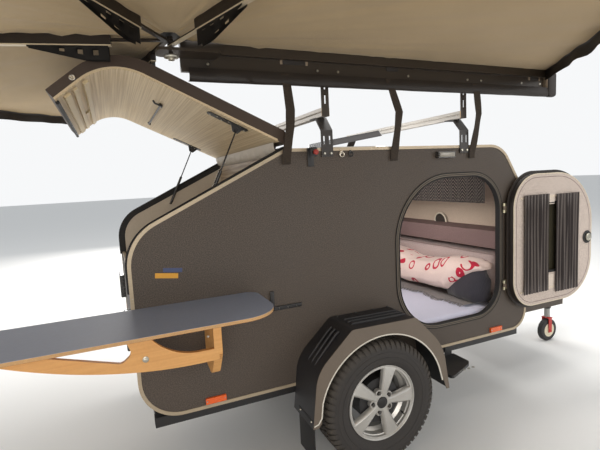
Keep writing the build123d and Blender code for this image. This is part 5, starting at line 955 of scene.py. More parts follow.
for side_name, (side, pin, across, inward) in HUNG.items():
    leaf = f"door_{side_name}"
    dress(finish(f"door_skin_{side_name}", None, 0.55, mottle=0.09, relief=0.7,
                 pattern=leaf_skin(side_name)), leaf)
    shape = bmesh.new()
    for inset, lift, radius in ((0.0005, 0.0025, 0.0045), (-0.0125, 0.0030, 0.0018),
                                (-0.0235, 0.0025, 0.0034)):
        line = outline_of(DOORWAY, DOORWAY_BENDS, inset, 14)
        tube(shape, [spot(p.x, side * (0.700 + lift), p.y) for p in line], radius, 8, closed=True)
    wide, slim = outline_of(DOORWAY, DOORWAY_BENDS, 0.0, 14), outline_of(DOORWAY, DOORWAY_BENDS, 0.0012, 14)
    rings = [[spot(p.x, side * depth, p.y) for p in run]
             for run, depth in ((wide, 0.7025), (slim, 0.7025), (slim, 0.6695), (wide, 0.6695),
                                (wide, 0.7025))]
    loft(shape, rings, caps=False)
    bmesh.ops.remove_doubles(shape, verts=shape.verts, dist=1e-6)
    piece(f"doorway_seals_{side_name}", shape, rubber)

    shape = bmesh.new()
    line = outline_of(LEAF, LEAF_BENDS, 0.0115, 12)
    tube(shape, [on_leaf(side_name, p.x, 0.0462, p.y) for p in line], 0.0032, 8, closed=True)
    piece(f"lining_piping_{side_name}", shape, piping, leaf)
    shape = bmesh.new()
    line = outline_of(LEAF, LEAF_BENDS, 0.034, 12)
    tube(shape, [on_leaf(side_name, p.x, 0.0470, p.y) for p in line], 0.0022, 6, closed=True, flat=0.6)
    piece(f"lining_stitching_{side_name}", shape, stitching, leaf)

    shape = bmesh.new()
    pane = ((0.205, 0.845), (0.635, 0.845), (0.635, 1.325), (0.205, 1.325))
    for depth, radius in ((0.0430, 0.0075), (0.0080, 0.0060)):
        line = outline_of(pane, (0.06,) * 4, -0.002, 8)
        tube(shape, [on_leaf(side_name, p.x, depth, p.y) for p in line], radius, 8, closed=True)
    piece(f"window_gasket_{side_name}", shape, rubber, leaf)

    piece(f"latch_rose_{side_name}", formed(turned, [(0, 0.045), (0.004, 0.047), (0.009, 0.043),
            (0.010, 0.036), (0.004, 0.033), (0.004, 0)], on_leaf(side_name, 0.786, 0.0465, 1.050), inward,
            36), black_plastic, leaf)
    piece(f"latch_knob_{side_name}", formed(turned, [(0, 0.020), (0.006, 0.020), (0.008, 0.029),
            (0.014, 0.028), (0.016, 0.022), (0.011, 0.019), (0.011, 0)],
            on_leaf(side_name, 0.786, 0.0500, 1.050), inward, 28), zinc, leaf)
    shape = bmesh.new()
    plate = ((0.712, 1.000), (0.806, 1.000), (0.806, 1.100), (0.712, 1.100))
    rings = []
    for inset, depth in ((0.0, 0.0070), (0.0, 0.0045), (0.003, 0.0030), (0.014, 0.0030), (0.016, 0.0062)):
        rings.append([on_leaf(side_name, p.x, depth, p.y) for p in outline_of(plate, (0.020,) * 4, inset,
                6)])
    loft(shape, rings)
    paddle = ((0.730, 1.030), (0.792, 1.030), (0.792, 1.070), (0.730, 1.070))
    rings = []
    for inset, depth in ((0.0, 0.0062), (0.0, 0.0025), (0.003, 0.0008)):
        rings.append([on_leaf(side_name, p.x, depth, p.y) for p in outline_of(paddle, (0.009,) * 4, inset,
                5)])
    loft(shape, rings)
    piece(f"outer_handle_{side_name}", shape, black_plastic, leaf)

    cloth = finish(f"curtain_cloth_with_painted_fold_light_{side_name}", None, 0.9, mottle=0.10, relief=0.4,
                   pattern=curtain_cloth_with_painted_fold_light(across),
                   sheen_weight=0.2)
    curtain(f"curtain_near_hinge_{side_name}", side_name, 0.118, 0.362, 0.712, 1.392, cloth, 5)
    curtain(f"curtain_near_latch_{side_name}", side_name, 0.434, 0.676, 0.690, 1.386, cloth, 9)
    shape = bmesh.new()
    for height in (0.729, 1.372):
        tube(shape, [on_leaf(side_name, along, 0.0505, height) for along in (0.105, 0.25, 0.40, 0.55,
                0.690)], 0.0025, 6)
        for along in (0.105, 0.690):
            turned(shape, [(0, 0.007), (0.006, 0.006), (0.009, 0.003)],
                   on_leaf(side_name, along, 0.0465, height), inward, 10)
    piece(f"curtain_wires_{side_name}", shape, piping, leaf)
    shape = bmesh.new()
    for low, high in ((0.716, 0.818), (1.318, 1.386)):
        ring = []
        for depth in (0.0468, 0.0490):
            ring.append([on_leaf(side_name, a, depth, h) for a, h in ((0.366, low), (0.430, low),
                    (0.430, high), (0.366, high))])
        loft(shape, ring)
    piece(f"lining_patches_{side_name}", shape, cream_felt, leaf)
screws("hinge_screws_right", [on_leaf("right", 0.036, -0.0075, height + step) for height in (0.790, 1.316)
                              for step in (-0.02, 0.02)], (0, 1, 0), 0.004, 0.002, zinc, "door_right")


# Hatch: one moulded panel, curved down at its tail, that swings up on a long hinge at the
# roof. Its skin has the wall's stippled coating and its inside a ribbed beige laminate on
# battens. Gas struts hold it open, with balls on the walls and on two brackets.
hatch_turn = math.radians(51)
hatch_pin = spot(0.806, 0, 1.741)
closed_x = Vector((math.cos(hatch_turn), 0, -math.sin(hatch_turn)))
closed_z = Vector((math.sin(hatch_turn), 0, math.cos(hatch_turn)))


def raised(station, y, height):
    """A place on the hatch, given where it would be with the hatch closed."""
    off = spot(station, 0, height) - hatch_pin
    return hatch_pin + closed_x * off.x + closed_z * off.z + Vector((0, y, 0))


def hatch_skin(tree, place, speck):
    """Coating on the skin, and a darker moulded edge on the two flanks."""
    coat, grit = coating(tree, place, 320.0, 2.0, tone(74, 64, 54), tone(106, 92, 77))
    apart = axes(tree, place)
    flank = calc(tree, "GREATER_THAN", calc(tree, "ABSOLUTE", apart[1]), 0.6985)
    return two_tone(tree, flank, coat, tone(66, 52, 42)), grit


def ribbed_laminate(tree, place, speck):
    """Fine lines that run across the hatch, at an uneven pitch."""
    turned_place = add(tree, "ShaderNodeMapping", {"Vector": place, "Rotation": (0, -hatch_turn, 0)},
                       vector_type="POINT").outputs[0]
    drawn = stretched(tree, turned_place, (260.0, 1.2, 90.0))
    fibre = noise_at(tree, drawn, 1.0, 3.0)
    share = ramp(tree, fibre, 0.38, 0.62)
    return two_tone(tree, share, tone(192, 168, 132), tone(218, 197, 162)), fibre


laminate = finish("ribbed_beige_laminate", None, 0.62, mottle=0.05, relief=0.4, pattern=ribbed_laminate)
batten_wood = finish("pale_batten", tone(204, 184, 146), 0.6, mottle=0.08, grain=60, stretch=(1, 0.08, 1))
dress(finish("hatch_skin", None, 0.56, mottle=0.09, relief=0.7, pattern=hatch_skin), "hatch_shell")
dress(laminate, "hatch_lining")
dress(black_steel, "hatch_fittings", "hatch_mountings")
strut_barrel = finish("strut_black_enamel", tone(32, 30, 30), 0.3, mottle=0.1, coat_weight=0.3)
strut_chrome = finish("strut_rod_chrome", tone(60, 58, 58), 0.22, metallic=0.9, mottle=0.05)
dress(strut_barrel, "strut_cylinder_left", "strut_cylinder_right")
dress(strut_chrome, "strut_rod_left", "strut_rod_right")


# Up the hatch along the body's rear slope, and out from it, with the hatch closed.
ROOF_END, KNEE = Vector(BODY[4]), Vector(BODY[5])
slope = (ROOF_END - KNEE).normalized()
lift = Vector((-slope.y, slope.x))


def panel_line(proud_slope, proud_tail, steps=14):
    """Points from the hinge over the rear bend to the tail, at an even distance outside the body."""
    top = ROOF_END - slope * 0.05 + lift * proud_slope
    end = Vector((-proud_tail, 1.080))
    knee_height = top.y - (top.x - end.x) * slope.y / slope.x
    knee = Vector((end.x, knee_height))
    return [top] + rounded([top, knee, end], [0, 0.230 + proud_tail, 0], steps)[1:-1] + [end]


for side_name, side in SIDES:
    shape = bmesh.new()
    outer, inner = panel_line(0.0310, 0.0190), panel_line(0.0240, 0.0120)
    rings = []
    for p, q in zip(outer, inner):
        rings.append([raised(p.x, side * 0.7005, p.y), raised(q.x, side * 0.7005, q.y),
                      raised(q.x, side * 0.6960, q.y), raised(p.x, side * 0.6960, p.y)])
    loft(shape, rings)
    piece(f"hatch_edge_trim_{side_name}", shape, finish(f"hatch_trim_beige_{side_name}",
            tone(206, 184, 150), 0.5,
                                                        mottle=0.06, grain=200), "hatch")
    piece(f"hatch_latch_ring_{side_name}", formed(turned, [(0, 0.012), (0.004, 0.013), (0.006, 0.010),
            (0.002, 0.006), (0.002, 0)], raised(-0.036, side * 0.700, 1.196), (0, side, 0), 24), light_eye,
            "hatch")

shape = bmesh.new()
up = Vector((0, 1))
for foot, wide, deep in ((1.1180, 0.030, 0.012), (1.1660, 0.020, 0.010), (1.2180, 0.024, 0.014)):
    p = Vector((-0.0080, foot))
    q = p + Vector((deep, 0))
    loft(shape, [[raised(v.x, y, v.y) for v in (p, q, q + up * wide, p + up * wide)] for y in (-0.650,
            0.650)])
p, q = Vector((-0.0080, 1.183)), Vector((0.0020, 1.183))
loft(shape, [[raised(v.x, y, v.y) for y in (0.075, 0.099) for v in ((p, q) if y < 0.08 else (q, p))]
             for p, q in ((p, q), (p + up * 0.036, q + up * 0.036))])
piece("hatch_tail_battens", shape, batten_wood, "hatch")
piece("hatch_tail_seal", formed(tube, [raised(0.0, y, 1.085) - Vector((0.004, 0, 0)) for y in (-0.660, 0.0,
        0.660)], 0.009, 10), rubber, "hatch")


# Pull rod with a hook at each end, and a bracket plate round each strut ball.
shape = bmesh.new()
middle = KNEE + Vector((0.250, 0.250 * slope.y / slope.x)) + lift * 0.0075
tube(shape, [raised(middle.x, y, middle.y) for y in (-0.330, -0.120, 0.140, 0.400)], 0.0052, 10)
tube(shape, [raised(p.x, -0.326, p.y) for p in (middle, middle - slope * 0.030,
        middle - slope * 0.044 + lift * 0.010)],
     0.0052, 8)
for y in (-0.322, 0.392):
    turned(shape, [(0, 0.014), (0.004, 0.013), (0.012, 0.008)], raised(middle.x, y,
            middle.y) - closed_z * 0.001, closed_z, 16)
piece("hatch_pull_rod", shape, black_steel, "hatch")
for side_name, side in SIDES:
    shape = bmesh.new()
    base = ROOF_END - slope * 0.335 + lift * 0.0195
    rings = []
    for step in (-0.080, -0.070, 0.130, 0.140):
        wide = 0.016 if step in (-0.080, 0.140) else 0.030
        p = base + slope * step
        rings.append([raised(v.x, side * y, v.y) for v, y in (
            (p, 0.622 - wide), (p, 0.622 + wide), (p - lift * 0.004, 0.622 + wide),
            (p - lift * 0.004, 0.622 - wide))])
    loft(shape, rings)
    piece(f"strut_backing_plate_{side_name}", shape, black_steel, "hatch")
    points = [base + slope * (-0.062 + 0.0315 * k) - lift * 0.004 for k in range(7)]
    screws(f"strut_plate_screws_{side_name}",
           [raised(p.x, side * (0.622 + (0.016 if k % 2 else -0.016)), p.y) for k, p in enumerate(points)],
           tuple(-raised(lift.x, 0, lift.y) + raised(0, 0, 0)), 0.0045, 0.003, zinc, "hatch")


# Rubber-backed gaiter under the hinge: a pale strip that creases between roof and hatch.
dice = random.Random(3)
shape = bmesh.new()
rows = []
low_edge, high_edge = Vector((0.800, 1.7035)), ROOF_END - Vector((0.050,
        0.050 * slope.y / slope.x)) + lift * 0.0150
for j in range(7):
    share = j / 6
    line = []
    for k in range(161):
        y = -0.664 + 1.328 * k / 160
        crease = 0.0045 * math.sin(k * 0.61 + 3.0 * share) * math.sin(k * 0.17 + 1.0)
        crease += dice.uniform(-0.0016, 0.0016)
        bow = math.sin(math.pi * share)
        line.append(spot(low_edge.x, y, low_edge.y) * (1 - share) + raised(high_edge.x, y,
                high_edge.y) * share
                    + Vector((-0.012, 0, -0.010)) * bow + Vector((-0.7, 0, -0.7)) * crease * bow)
    rows.append(line)
loft(shape, rows, closed=False)
gaiter = piece("hinge_gaiter", shape, finish("gaiter_vinyl", tone(196, 186, 172), 0.6, mottle=0.12,
        grain=300, relief=0.3),
               "trailer", 60)
reach = (spot(low_edge.x, 0, low_edge.y) - raised(high_edge.x, 0, high_edge.y)).length


# Galley: a counter and an open locker of birch plywood with a greyish oak laminate,
# screwed to the bulkhead, with four small drawers that pull by a round finger hole.
def oak(tree, place, speck):
    drawn = stretched(tree, place, (60.0, 2.4, 60.0))
    grain = noise_at(tree, drawn, 1.0, 4.0, 0.6)
    share = ramp(tree, grain, 0.35, 0.68)
    return two_tone(tree, share, tone(128, 108, 88), tone(178, 158, 132)), grain


oak_laminate = finish("grey_oak_laminate", None, 0.5, mottle=0.06, relief=0.2, pattern=oak)
dress(oak_laminate, "galley_units", "galley_bulkhead")
for column, (left, right) in enumerate(((-0.602, -0.304), (-0.300, -0.011), (0.011, 0.300),
                                        (0.304, 0.602))):
    piece(f"drawer_front_{column + 1}", formed(block, spot(0.546, left, 1.262), spot(0.560, right, 1.414),
            0.002), oak_laminate)
    piece(f"drawer_grip_{column + 1}", formed(turned, [(0, 0.019), (0.0025, 0.018), (0.0015, 0.015),
            (-0.001, 0.014), (-0.001, 0)], spot(0.546, (left + right) / 2, 1.372), (-1, 0, 0), 24),
            black_plastic)
shape = bmesh.new()
block(shape, spot(0.0445, -0.668, 0.979), spot(0.0465, 0.668, 1.001), 0.0006)
block(shape, spot(0.558, -0.625, 1.2385), spot(0.5595, 0.625, 1.2565), 0.0005)
piece("galley_edge_bands", shape, batten_wood)
lamp_glow = finish("lamp_diffuser", tone(224, 214, 196), 0.4, mottle=0.04)
piece("galley_lamp", formed(block, spot(0.590, -0.250, 1.2290), spot(0.625, 0.250, 1.2400), 0.003),
      lamp_glow)


# Bed: a foam mattress in a fitted sheet, a tall padded bolster against the nose, and a
# folded duvet with a red scroll print laid over a dark cushion and a fringed grey blanket.
lamp("cabin_daylight", spot(1.55, -0.15, 1.60), spot(2.45, 0.10, 0.95), (0.45, 0.70), 9, (1.0, 0.96, 0.92))


def kept(obj):
    """Keep what an object's modifiers make, as a plain mesh."""
    ready = obj.evaluated_get(bpy.context.evaluated_depsgraph_get())
    mesh = bpy.data.meshes.new_from_object(ready)
    obj.modifiers.clear()
    obj.data = mesh


def stuffed(name, shape, voxel, cap, ripple, surface, seed):
    """A closed cover, filled by a short cloth simulation and then lightly wrinkled."""
    bmesh.ops.recalc_face_normals(shape, faces=shape.faces)
    mesh = bpy.data.meshes.new(name)
    shape.to_mesh(mesh)
    shape.free()
    obj = bpy.data.objects.new(name, mesh)
    bpy.context.scene.collection.objects.link(obj)
    remesh = obj.modifiers.new("cover", "REMESH")
    remesh.mode = "VOXEL"
    remesh.voxel_size = voxel
    kept(obj)
    first = [vert.co.copy() for vert in obj.data.vertices]
    cover = obj.modifiers.new("fill", "CLOTH")
    cover.settings.use_pressure = True
    cover.settings.uniform_pressure_force = 4.0
    cover.settings.effector_weights.gravity = 0.0
    for step in range(1, 21):
        bpy.context.scene.frame_set(step)
    kept(obj)
    bpy.context.scene.frame_set(1)
    for vert, start in zip(obj.data.vertices, first):
        moved = vert.co - start
        if moved.length > cap:
            vert.co = start + moved * (cap / moved.length)
    shift = Vector((seed * 7.3, seed * 1.9, 0))
    for vert in obj.data.vertices:
        fold = noise.noise((vert.co + shift) * 5.0) + 0.5 * noise.noise((vert.co + shift) * 13.0)
        vert.co += vert.normal * fold * ripple
    smooth = obj.modifiers.new("smooth", "SUBSURF")
    smooth.levels = smooth.render_levels = 1
    kept(obj)
    final = obj.data
    bpy.data.objects.remove(obj)
    final.name = name
    return piece(name, final, surface, "trailer", 75)


def weave(low, high, pitch=900.0):
    def threads(tree, place, speck):
        warp = wave(tree, axes(tree, place)[1], pitch)
        fuzz = noise_at(tree, place, 260.0, 2.0)
        share = calc(tree, "MULTIPLY_ADD", warp, 0.12, fuzz)
        return two_tone(tree, share, low, high), share
    return threads


def scrolls(tree, place, speck):
    """Open curls of red on white cotton, from warped rings round scattered points."""
    bent = add(tree, "ShaderNodeTexNoise", {"Vector": place, "Scale": 5.0, "Detail": 1.0}).outputs["Color"]
    moved = add(tree, "ShaderNodeVectorMath", {0: bent, 1: (0.16, 0.16, 0.16), 2: place},
                operation="MULTIPLY_ADD").outputs[0]
    ring = add(tree, "ShaderNodeTexVoronoi", {"Vector": moved, "Scale": 9.0}).outputs["Distance"]
    line = calc(tree, "ABSOLUTE", calc(tree, "SUBTRACT", ring, 0.34))
    line = calc(tree, "LESS_THAN", line, 0.062)
    gap = noise_at(tree, place, 9.0, 0.0)
    line = calc(tree, "MULTIPLY", line, calc(tree, "GREATER_THAN", gap, 0.40))
    return two_tone(tree, line, tone(238, 214, 206), tone(196, 30, 62)), speck


sheet_cotton = finish("fitted_sheet_cotton", None, 0.85, mottle=0.05, relief=0.3, sheen_weight=0.2,
                      pattern=weave(tone(196, 198, 222), tone(222, 222, 240)))
bolster_cloth = finish("bolster_cloth", None, 0.92, mottle=0.06, relief=0.5, sheen_weight=0.25,
                       pattern=felt(tone(178, 158, 156), tone(206, 188, 184), 300))
shelf_cloth = finish("shelf_cloth", None, 0.92, mottle=0.07, relief=0.4,
                     pattern=felt(tone(108, 88, 86), tone(132, 110, 108), 300))
duvet_cotton = finish("printed_duvet_cotton", None, 0.85, mottle=0.06, relief=0.15, pattern=scrolls,
                      sheen_weight=0.2)
cushion_cloth = finish("charcoal_cushion_cloth", None, 0.9, mottle=0.12, relief=0.4, sheen_weight=0.3,
                       pattern=weave(tone(42, 40, 48), tone(66, 64, 72)))
dress(shelf_cloth, "nose_shelf")

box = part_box("mattress")
mattress = stuffed("mattress_in_sheet", formed(block, (box[0].x + 0.012, box[0].y + 0.012,
        box[0].z + 0.006), (box[1].x - 0.100, box[1].y - 0.012, box[1].z - 0.012), 0.035, 3), 0.020, 0.010,
        0.0035, sheet_cotton, 1)
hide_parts("mattress")

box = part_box("bolster")
bolster = stuffed("padded_bolster", formed(block, (box[0].x + 0.015, box[0].y + 0.015, box[0].z + 0.010),
        (box[1].x - 0.012, box[1].y - 0.015, box[1].z - 0.012), 0.050, 3), 0.014, 0.014, 0.004,
        bolster_cloth, 2)
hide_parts("bolster")
shape = bmesh.new()
for height in (0.700, 0.980):
    tube(shape, [spot(2.392 + 0.004 * math.sin(k), y, height) for k, y in enumerate((-0.610, -0.3, 0.0, 0.3,
            0.610))], 0.0045, 8)
piece("bolster_piping", shape, finish("bolster_piping", tone(170, 152, 148), 0.85, mottle=0.1))


# The cushion and the folded duvet, each a rounded heap that leans on the bolster.
shape = bmesh.new()
rings = []
for y, front, top in ((-0.610, 2.285, 0.800), (-0.560, 2.215, 0.875), (-0.420, 2.200, 0.880),
                      (-0.300, 2.225, 0.830), (-0.250, 2.290, 0.760)):
    rings.append([spot(s, y, h) for s, h in ((front + 0.020, 0.642), (front, 0.700),
            (front + 0.030, top - 0.080),
                                             (front + 0.075, top), (2.372, top + 0.004), (2.374, 0.642))])
loft(shape, rings)
cushion = stuffed("charcoal_cushion", shape, 0.012, 0.010, 0.004, cushion_cloth, 3)
shape = bmesh.new()
rings = []
for y, front, low, top in ((-0.600, 2.275, 0.862, 0.905), (-0.520, 2.225, 0.850, 0.930),
                           (-0.420, 2.185, 0.770, 0.940),
                           (-0.330, 2.172, 0.690, 0.935), (-0.200, 2.180, 0.672, 0.915),
                           (-0.050, 2.192, 0.665, 0.900),
                           (0.120, 2.185, 0.655, 0.885), (0.250, 2.180, 0.655, 0.920),
                           (0.420, 2.190, 0.655, 0.935),
                           (0.560, 2.205, 0.655, 0.915), (0.612, 2.260, 0.670, 0.870)):
    rings.append([spot(s, y, h) for s, h in ((2.374, low + 0.006), (front + 0.035, low),
            (front, low + 0.020),
                                             (front + 0.006, (low + top) / 2), (front + 0.050, top - 0.020),
                                             (front + 0.110, top), (2.374, top + 0.006))])
loft(shape, rings)
duvet = stuffed("folded_duvet", shape, 0.012, 0.014, 0.007, duvet_cotton, 4)
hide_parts("duvet")


# Grey knitted blanket under the duvet, laid flat with a fringe along its front edge.
def blanket_edge(column):
    return 2.140 + 0.020 * math.sin(column * 0.35) + 0.010 * math.sin(column * 0.9)


shape = bmesh.new()
fringe_cloth = finish("grey_knitted_blanket", None, 0.95, mottle=0.2, relief=0.8,
                      pattern=weave(tone(96, 92, 94), tone(168, 162, 160), 500))
rows = []
for j in range(8):
    line = []
    for k in range(61):
        y = -0.560 + 1.120 * k / 60
        front = blanket_edge(k)
        s = front + (2.345 - front) * j / 7
        line.append(spot(s, y, 0.6405 + 0.0028 * (1 + math.sin(k * 0.8 + j)) * (1 if j < 3 else 0.4)))
    rows.append(line)
loft(shape, rows, closed=False)
blanket = piece("knitted_blanket", shape, fringe_cloth, "trailer", 60)
dice = random.Random(8)
shape = bmesh.new()
for k in range(112):
    y = -0.555 + 0.010 * k
    front = blanket_edge((y + 0.56) / 1.12 * 60)
    lean = dice.uniform(-0.006, 0.006)
    tube(shape, [spot(front + 0.004, y, 0.6425), spot(front - 0.016, y + lean * 0.5,
            0.6440 + dice.uniform(0, 0.003)),
                 spot(front - 0.034 - dice.uniform(0, 0.008), y + lean, 0.6405)], 0.0022, 5)
fringe = piece("blanket_fringe", shape, fringe_cloth)


# Valance: a dark net with a white chevron weave, hung on a cord under the roof at the nose.
def chevrons(tree, place, speck):
    apart = axes(tree, place)
    zig = calc(tree, "PINGPONG", apart[1], 0.022)
    line = calc(tree, "FRACT", calc(tree, "MULTIPLY", calc(tree, "ADD", calc(tree, "MULTIPLY", zig, 1.6),
            apart[2]), 42.0))
    return two_tone(tree, calc(tree, "GREATER_THAN", line, 0.80), tone(24, 20, 20),
                    tone(132, 122, 116)), speck


shape = bmesh.new()
rows = []
for j in range(13):
    height = 1.352 + 0.290 * j / 12
    line = []
    for k in range(161):
        y = -0.640 + 1.280 * k / 160
        deep = 0.010 * math.sin(k * 0.62 + 0.5 * math.sin(j * 0.5)) * (1 - 0.6 * j / 12)
        line.append(spot(2.262 + deep, y, height))
    rows.append(line)
loft(shape, rows, closed=False)
valance = piece("chevron_valance", shape, finish("chevron_net", None, 0.9, mottle=0.1, pattern=chevrons),
                "trailer", 60)
piece("valance_cord", formed(tube, [spot(2.262, y, 1.636 - 0.004 * (1 - (y / 0.66) ** 2)) for y in (-0.668,
        -0.4, 0, 0.4, 0.668)], 0.003, 8), black_plastic)


# Round vent with a pale bezel in the nose lining, and a dome lamp under the roof.
piece("nose_vent", formed(turned, [(0, 0.066), (0.010, 0.064), (0.012, 0.058), (0.006, 0.054),
                                   (0.004, 0.052), (0.004, 0.036), (0.009, 0.034), (0.010, 0)],
                                   spot(2.535, 0.085, 1.165), Vector((-0.97, 0, -0.10)), 40),
                                   finish("vent_plastic", tone(70, 64, 60), 0.5, mottle=0.15, grain=120))
facing = Vector((-0.97, 0, -0.10)).normalized()
rim = facing.orthogonal().normalized()
ring = [spot(2.535, 0.085, 1.165) + facing * 0.009 + (Matrix.Rotation(math.tau * k / 40, 3,
        facing) @ rim) * 0.065
        for k in range(40)]
piece("nose_vent_bezel", formed(tube, ring, 0.0065, 8, closed=True), lamp_glow)


# Roof rack: two slotted aluminium bars with black end caps, each on a pair of bent steel
# feet that are bolted through the side walls and carry the awning's back plate.
def bar_metal(tree, place, speck):
    drawn = stretched(tree, place, (300.0, 8.0, 300.0))
    fibre = noise_at(tree, drawn, 1.0, 2.0)
    return two_tone(tree, fibre, tone(196, 190, 182), tone(226, 220, 210)), fibre


dress(finish("rack_bar_aluminium", None, 0.34, metallic=0.55, mottle=0.04, relief=0.05, pattern=bar_metal),
      "rack_crossbars")
dress(finish("rack_foot_paint", tone(50, 46, 44), 0.45, mottle=0.16, grain=140), "rack_feet")
cap_plastic = finish("bar_end_cap", tone(206, 180, 146), 0.5, mottle=0.08, grain=200)
for bar, station in (("rear", 1.050), ("front", 2.016)):
    for side_name, side in SIDES:
        piece(f"bar_cap_{bar}_{side_name}", formed(block, spot(station - 0.0235, side * 0.6995, 1.9055),
                spot(station + 0.0235, side * 0.7045, 1.9485), 0.0015), cap_plastic)
        screws(f"foot_bolts_{bar}_{side_name}",
               [spot(station + step, side * 0.7095, 1.707) for step in (-0.020, 0.020)], (0, side, 0),
               0.008, 0.006, zinc)


# Roof vent: a white moulded frame bedded in sealant, with a raised dome of smoked acrylic
# that is ribbed down its slopes and lifts on a rear hinge.
def smoked_ribs(tree, place, speck):
    ribs = wave(tree, axes(tree, place)[1], 210.0)
    return two_tone(tree, ramp(tree, ribs, -1.0, 1.0), tone(58, 54, 54), tone(76, 72, 70)), ribs


dress(finish("vent_frame_plastic", tone(206, 202, 192), 0.45, mottle=0.05, grain=160), "roof_vent_frame")
dress(finish("vent_dome_acrylic", None, 0.14, mottle=0.05, relief=0.15, pattern=smoked_ribs,
             coat_weight=0.7), "roof_vent_lid")
shape = bmesh.new()
line = rounded([(1.343, -0.214), (1.777, -0.214), (1.777, 0.214), (1.343, 0.214)], (0.03,) * 4, 6)
tube(shape, [spot(p.x, p.y, 1.7365) for p in line], 0.006, 8, closed=True, flat=1.0)
piece("vent_sealant", shape, finish("grey_sealant", tone(150, 146, 140), 0.6, mottle=0.12, grain=60))


# Fan awning: four square aluminium arms that swing on one pivot at the rear of a back
# plate, and a canopy of coated canvas sewn in four gores over them.
def arm_metal_with_painted_highlight(tree, place, speck):
    """Dark anodised arms, with a painted highlight: a bright band along the underside for the light caught
    on the lower edge.
    """
    height = axes(tree, place)[2]
    # painted highlight: everything below this height is painted bright, for the light along the arms' lower
    # edge
    low = calc(tree, "LESS_THAN", height, ground_height + 2.1745)
    return two_tone(tree, low, tone(44, 37, 32), tone(206, 190, 162)), speck


def canvas_weave(tree, place, speck):
    apart = axes(tree, place)
    warp = wave(tree, apart[0], 1400.0)
    weft = wave(tree, apart[1], 1400.0)
    thread = calc(tree, "MULTIPLY", warp, weft)
    stain = noise_at(tree, place, 1.7, 3.0)
    return two_tone(tree, stain, tone(162, 138, 100), tone(190, 164, 124)), thread


ARM_TURNS = (-72.0, -126.0, -192.0, -258.5)
CLOTH_HEIGHT = 2.2172
RIB_START = 0.050
RAIL_REACH, ARM_REACH = 2.440, 2.452
HEM = 0.064
HOLLOW = 0.055
hub = spot(0.250, -0.820, 0)
# the arms' finish carries a painted highlight, bright along their underside
dress(finish("anodised_arm", None, 0.4, metallic=0.3, mottle=0.08, pattern=arm_metal_with_painted_highlight),
      "awning_arm_1", "awning_arm_2", "awning_arm_3", "awning_arm_4")
beam_paint = finish("brown_powder_coat", tone(54, 46, 38), 0.42, mottle=0.12, grain=150, relief=0.2)
dress(beam_paint, "awning_back_plate", "awning_pivot")
bag_cloth = finish("black_bag_vinyl", tone(40, 34, 30), 0.6, mottle=0.16, grain=220, relief=0.3)
canvas = finish("coated_canvas", None, 0.8, mottle=0.05, relief=0.12, pattern=canvas_weave,
                sheen_weight=0.15)


def on_arm(number, reach, height=CLOTH_HEIGHT):
    """A place over an arm, or over the back plate's rail for number 0."""
    if number == 0:
        return spot(0.250 + reach, -0.7525 - 0.0675 * max(0, 1 - reach / 0.30), height)
    turn = math.radians(ARM_TURNS[number - 1])
    return hub + Vector((math.cos(turn) * reach, math.sin(turn) * reach, height))


def gore(number):
    """One gore between two ribs: it sags a little, and its hem hangs down as a valance."""
    count, rows = 56, 44
    ends = (ARM_REACH if number else RAIL_REACH, ARM_REACH)
    shape = bmesh.new()
    grid = []
    for j in range(rows + 5):
        share = min(1, j / rows)
        hang = max(0, j - rows) * HEM / 4
        line = []
        for k in range(count + 1):
            u = k / count
            first = on_arm(number, RIB_START + (ends[0] - RIB_START) * share)
            last = on_arm(number + 1, RIB_START + (ends[1] - RIB_START) * share)
            here = first * (1 - u) + last * u
            bow = 4 * u * (1 - u)
            middle = here - Vector((hub.x, hub.y, here.z))
            here -= middle * (HOLLOW * bow * share ** 3)
            drop = 0.046 * bow * share ** 1.3
            crease = noise.noise(Vector((u * 17 + number * 9, share * 2.2, 0))) * 0.012 * share * min(1,
                    bow * 2.5)
            pucker = abs(noise.noise(Vector((u * 2.0, share * 22 + number * 5, 3)))) * 0.026 * (
                max(0, 1 - u / 0.20) + max(0, 1 - (1 - u) / 0.20)) * min(1, bow * 6)
            here.z -= drop + max(-0.004, crease) + pucker
            here.z = min(here.z, ground_height + CLOTH_HEIGHT)
            here += middle.normalized() * (0.010 * math.sin(k * 0.9 + number) * hang / HEM)
            here.z -= hang
            line.append(here)
        grid.append(line)
    loft(shape, grid, closed=False)
    bmesh.ops.recalc_face_normals(shape, faces=shape.faces)
    if sum(face.normal.z for face in shape.faces) < 0:
        bmesh.ops.reverse_faces(shape, faces=shape.faces)
    mesh = bpy.data.meshes.new(f"canopy_gore_{number + 1}")
    shape.to_mesh(mesh)
    shape.free()
    mesh.materials.append(canvas)
    mesh.materials.append(bag_cloth)
    for face in mesh.polygons:
        face.material_index = int(face.index >= rows * count)
    mesh.shade_smooth()
    obj = bpy.data.objects.new(mesh.name, mesh)
    bpy.context.scene.collection.objects.link(obj)
    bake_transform(obj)
    # Points along the straight line between the two legs' ends; they are worked out and not used.
    legs = on_arm(number, ends[0]), on_arm(number + 1, ends[1])
    for k in range(count + 1):
        u = k / count
        here = legs[0] * (1 - u) + legs[1] * u
    return obj


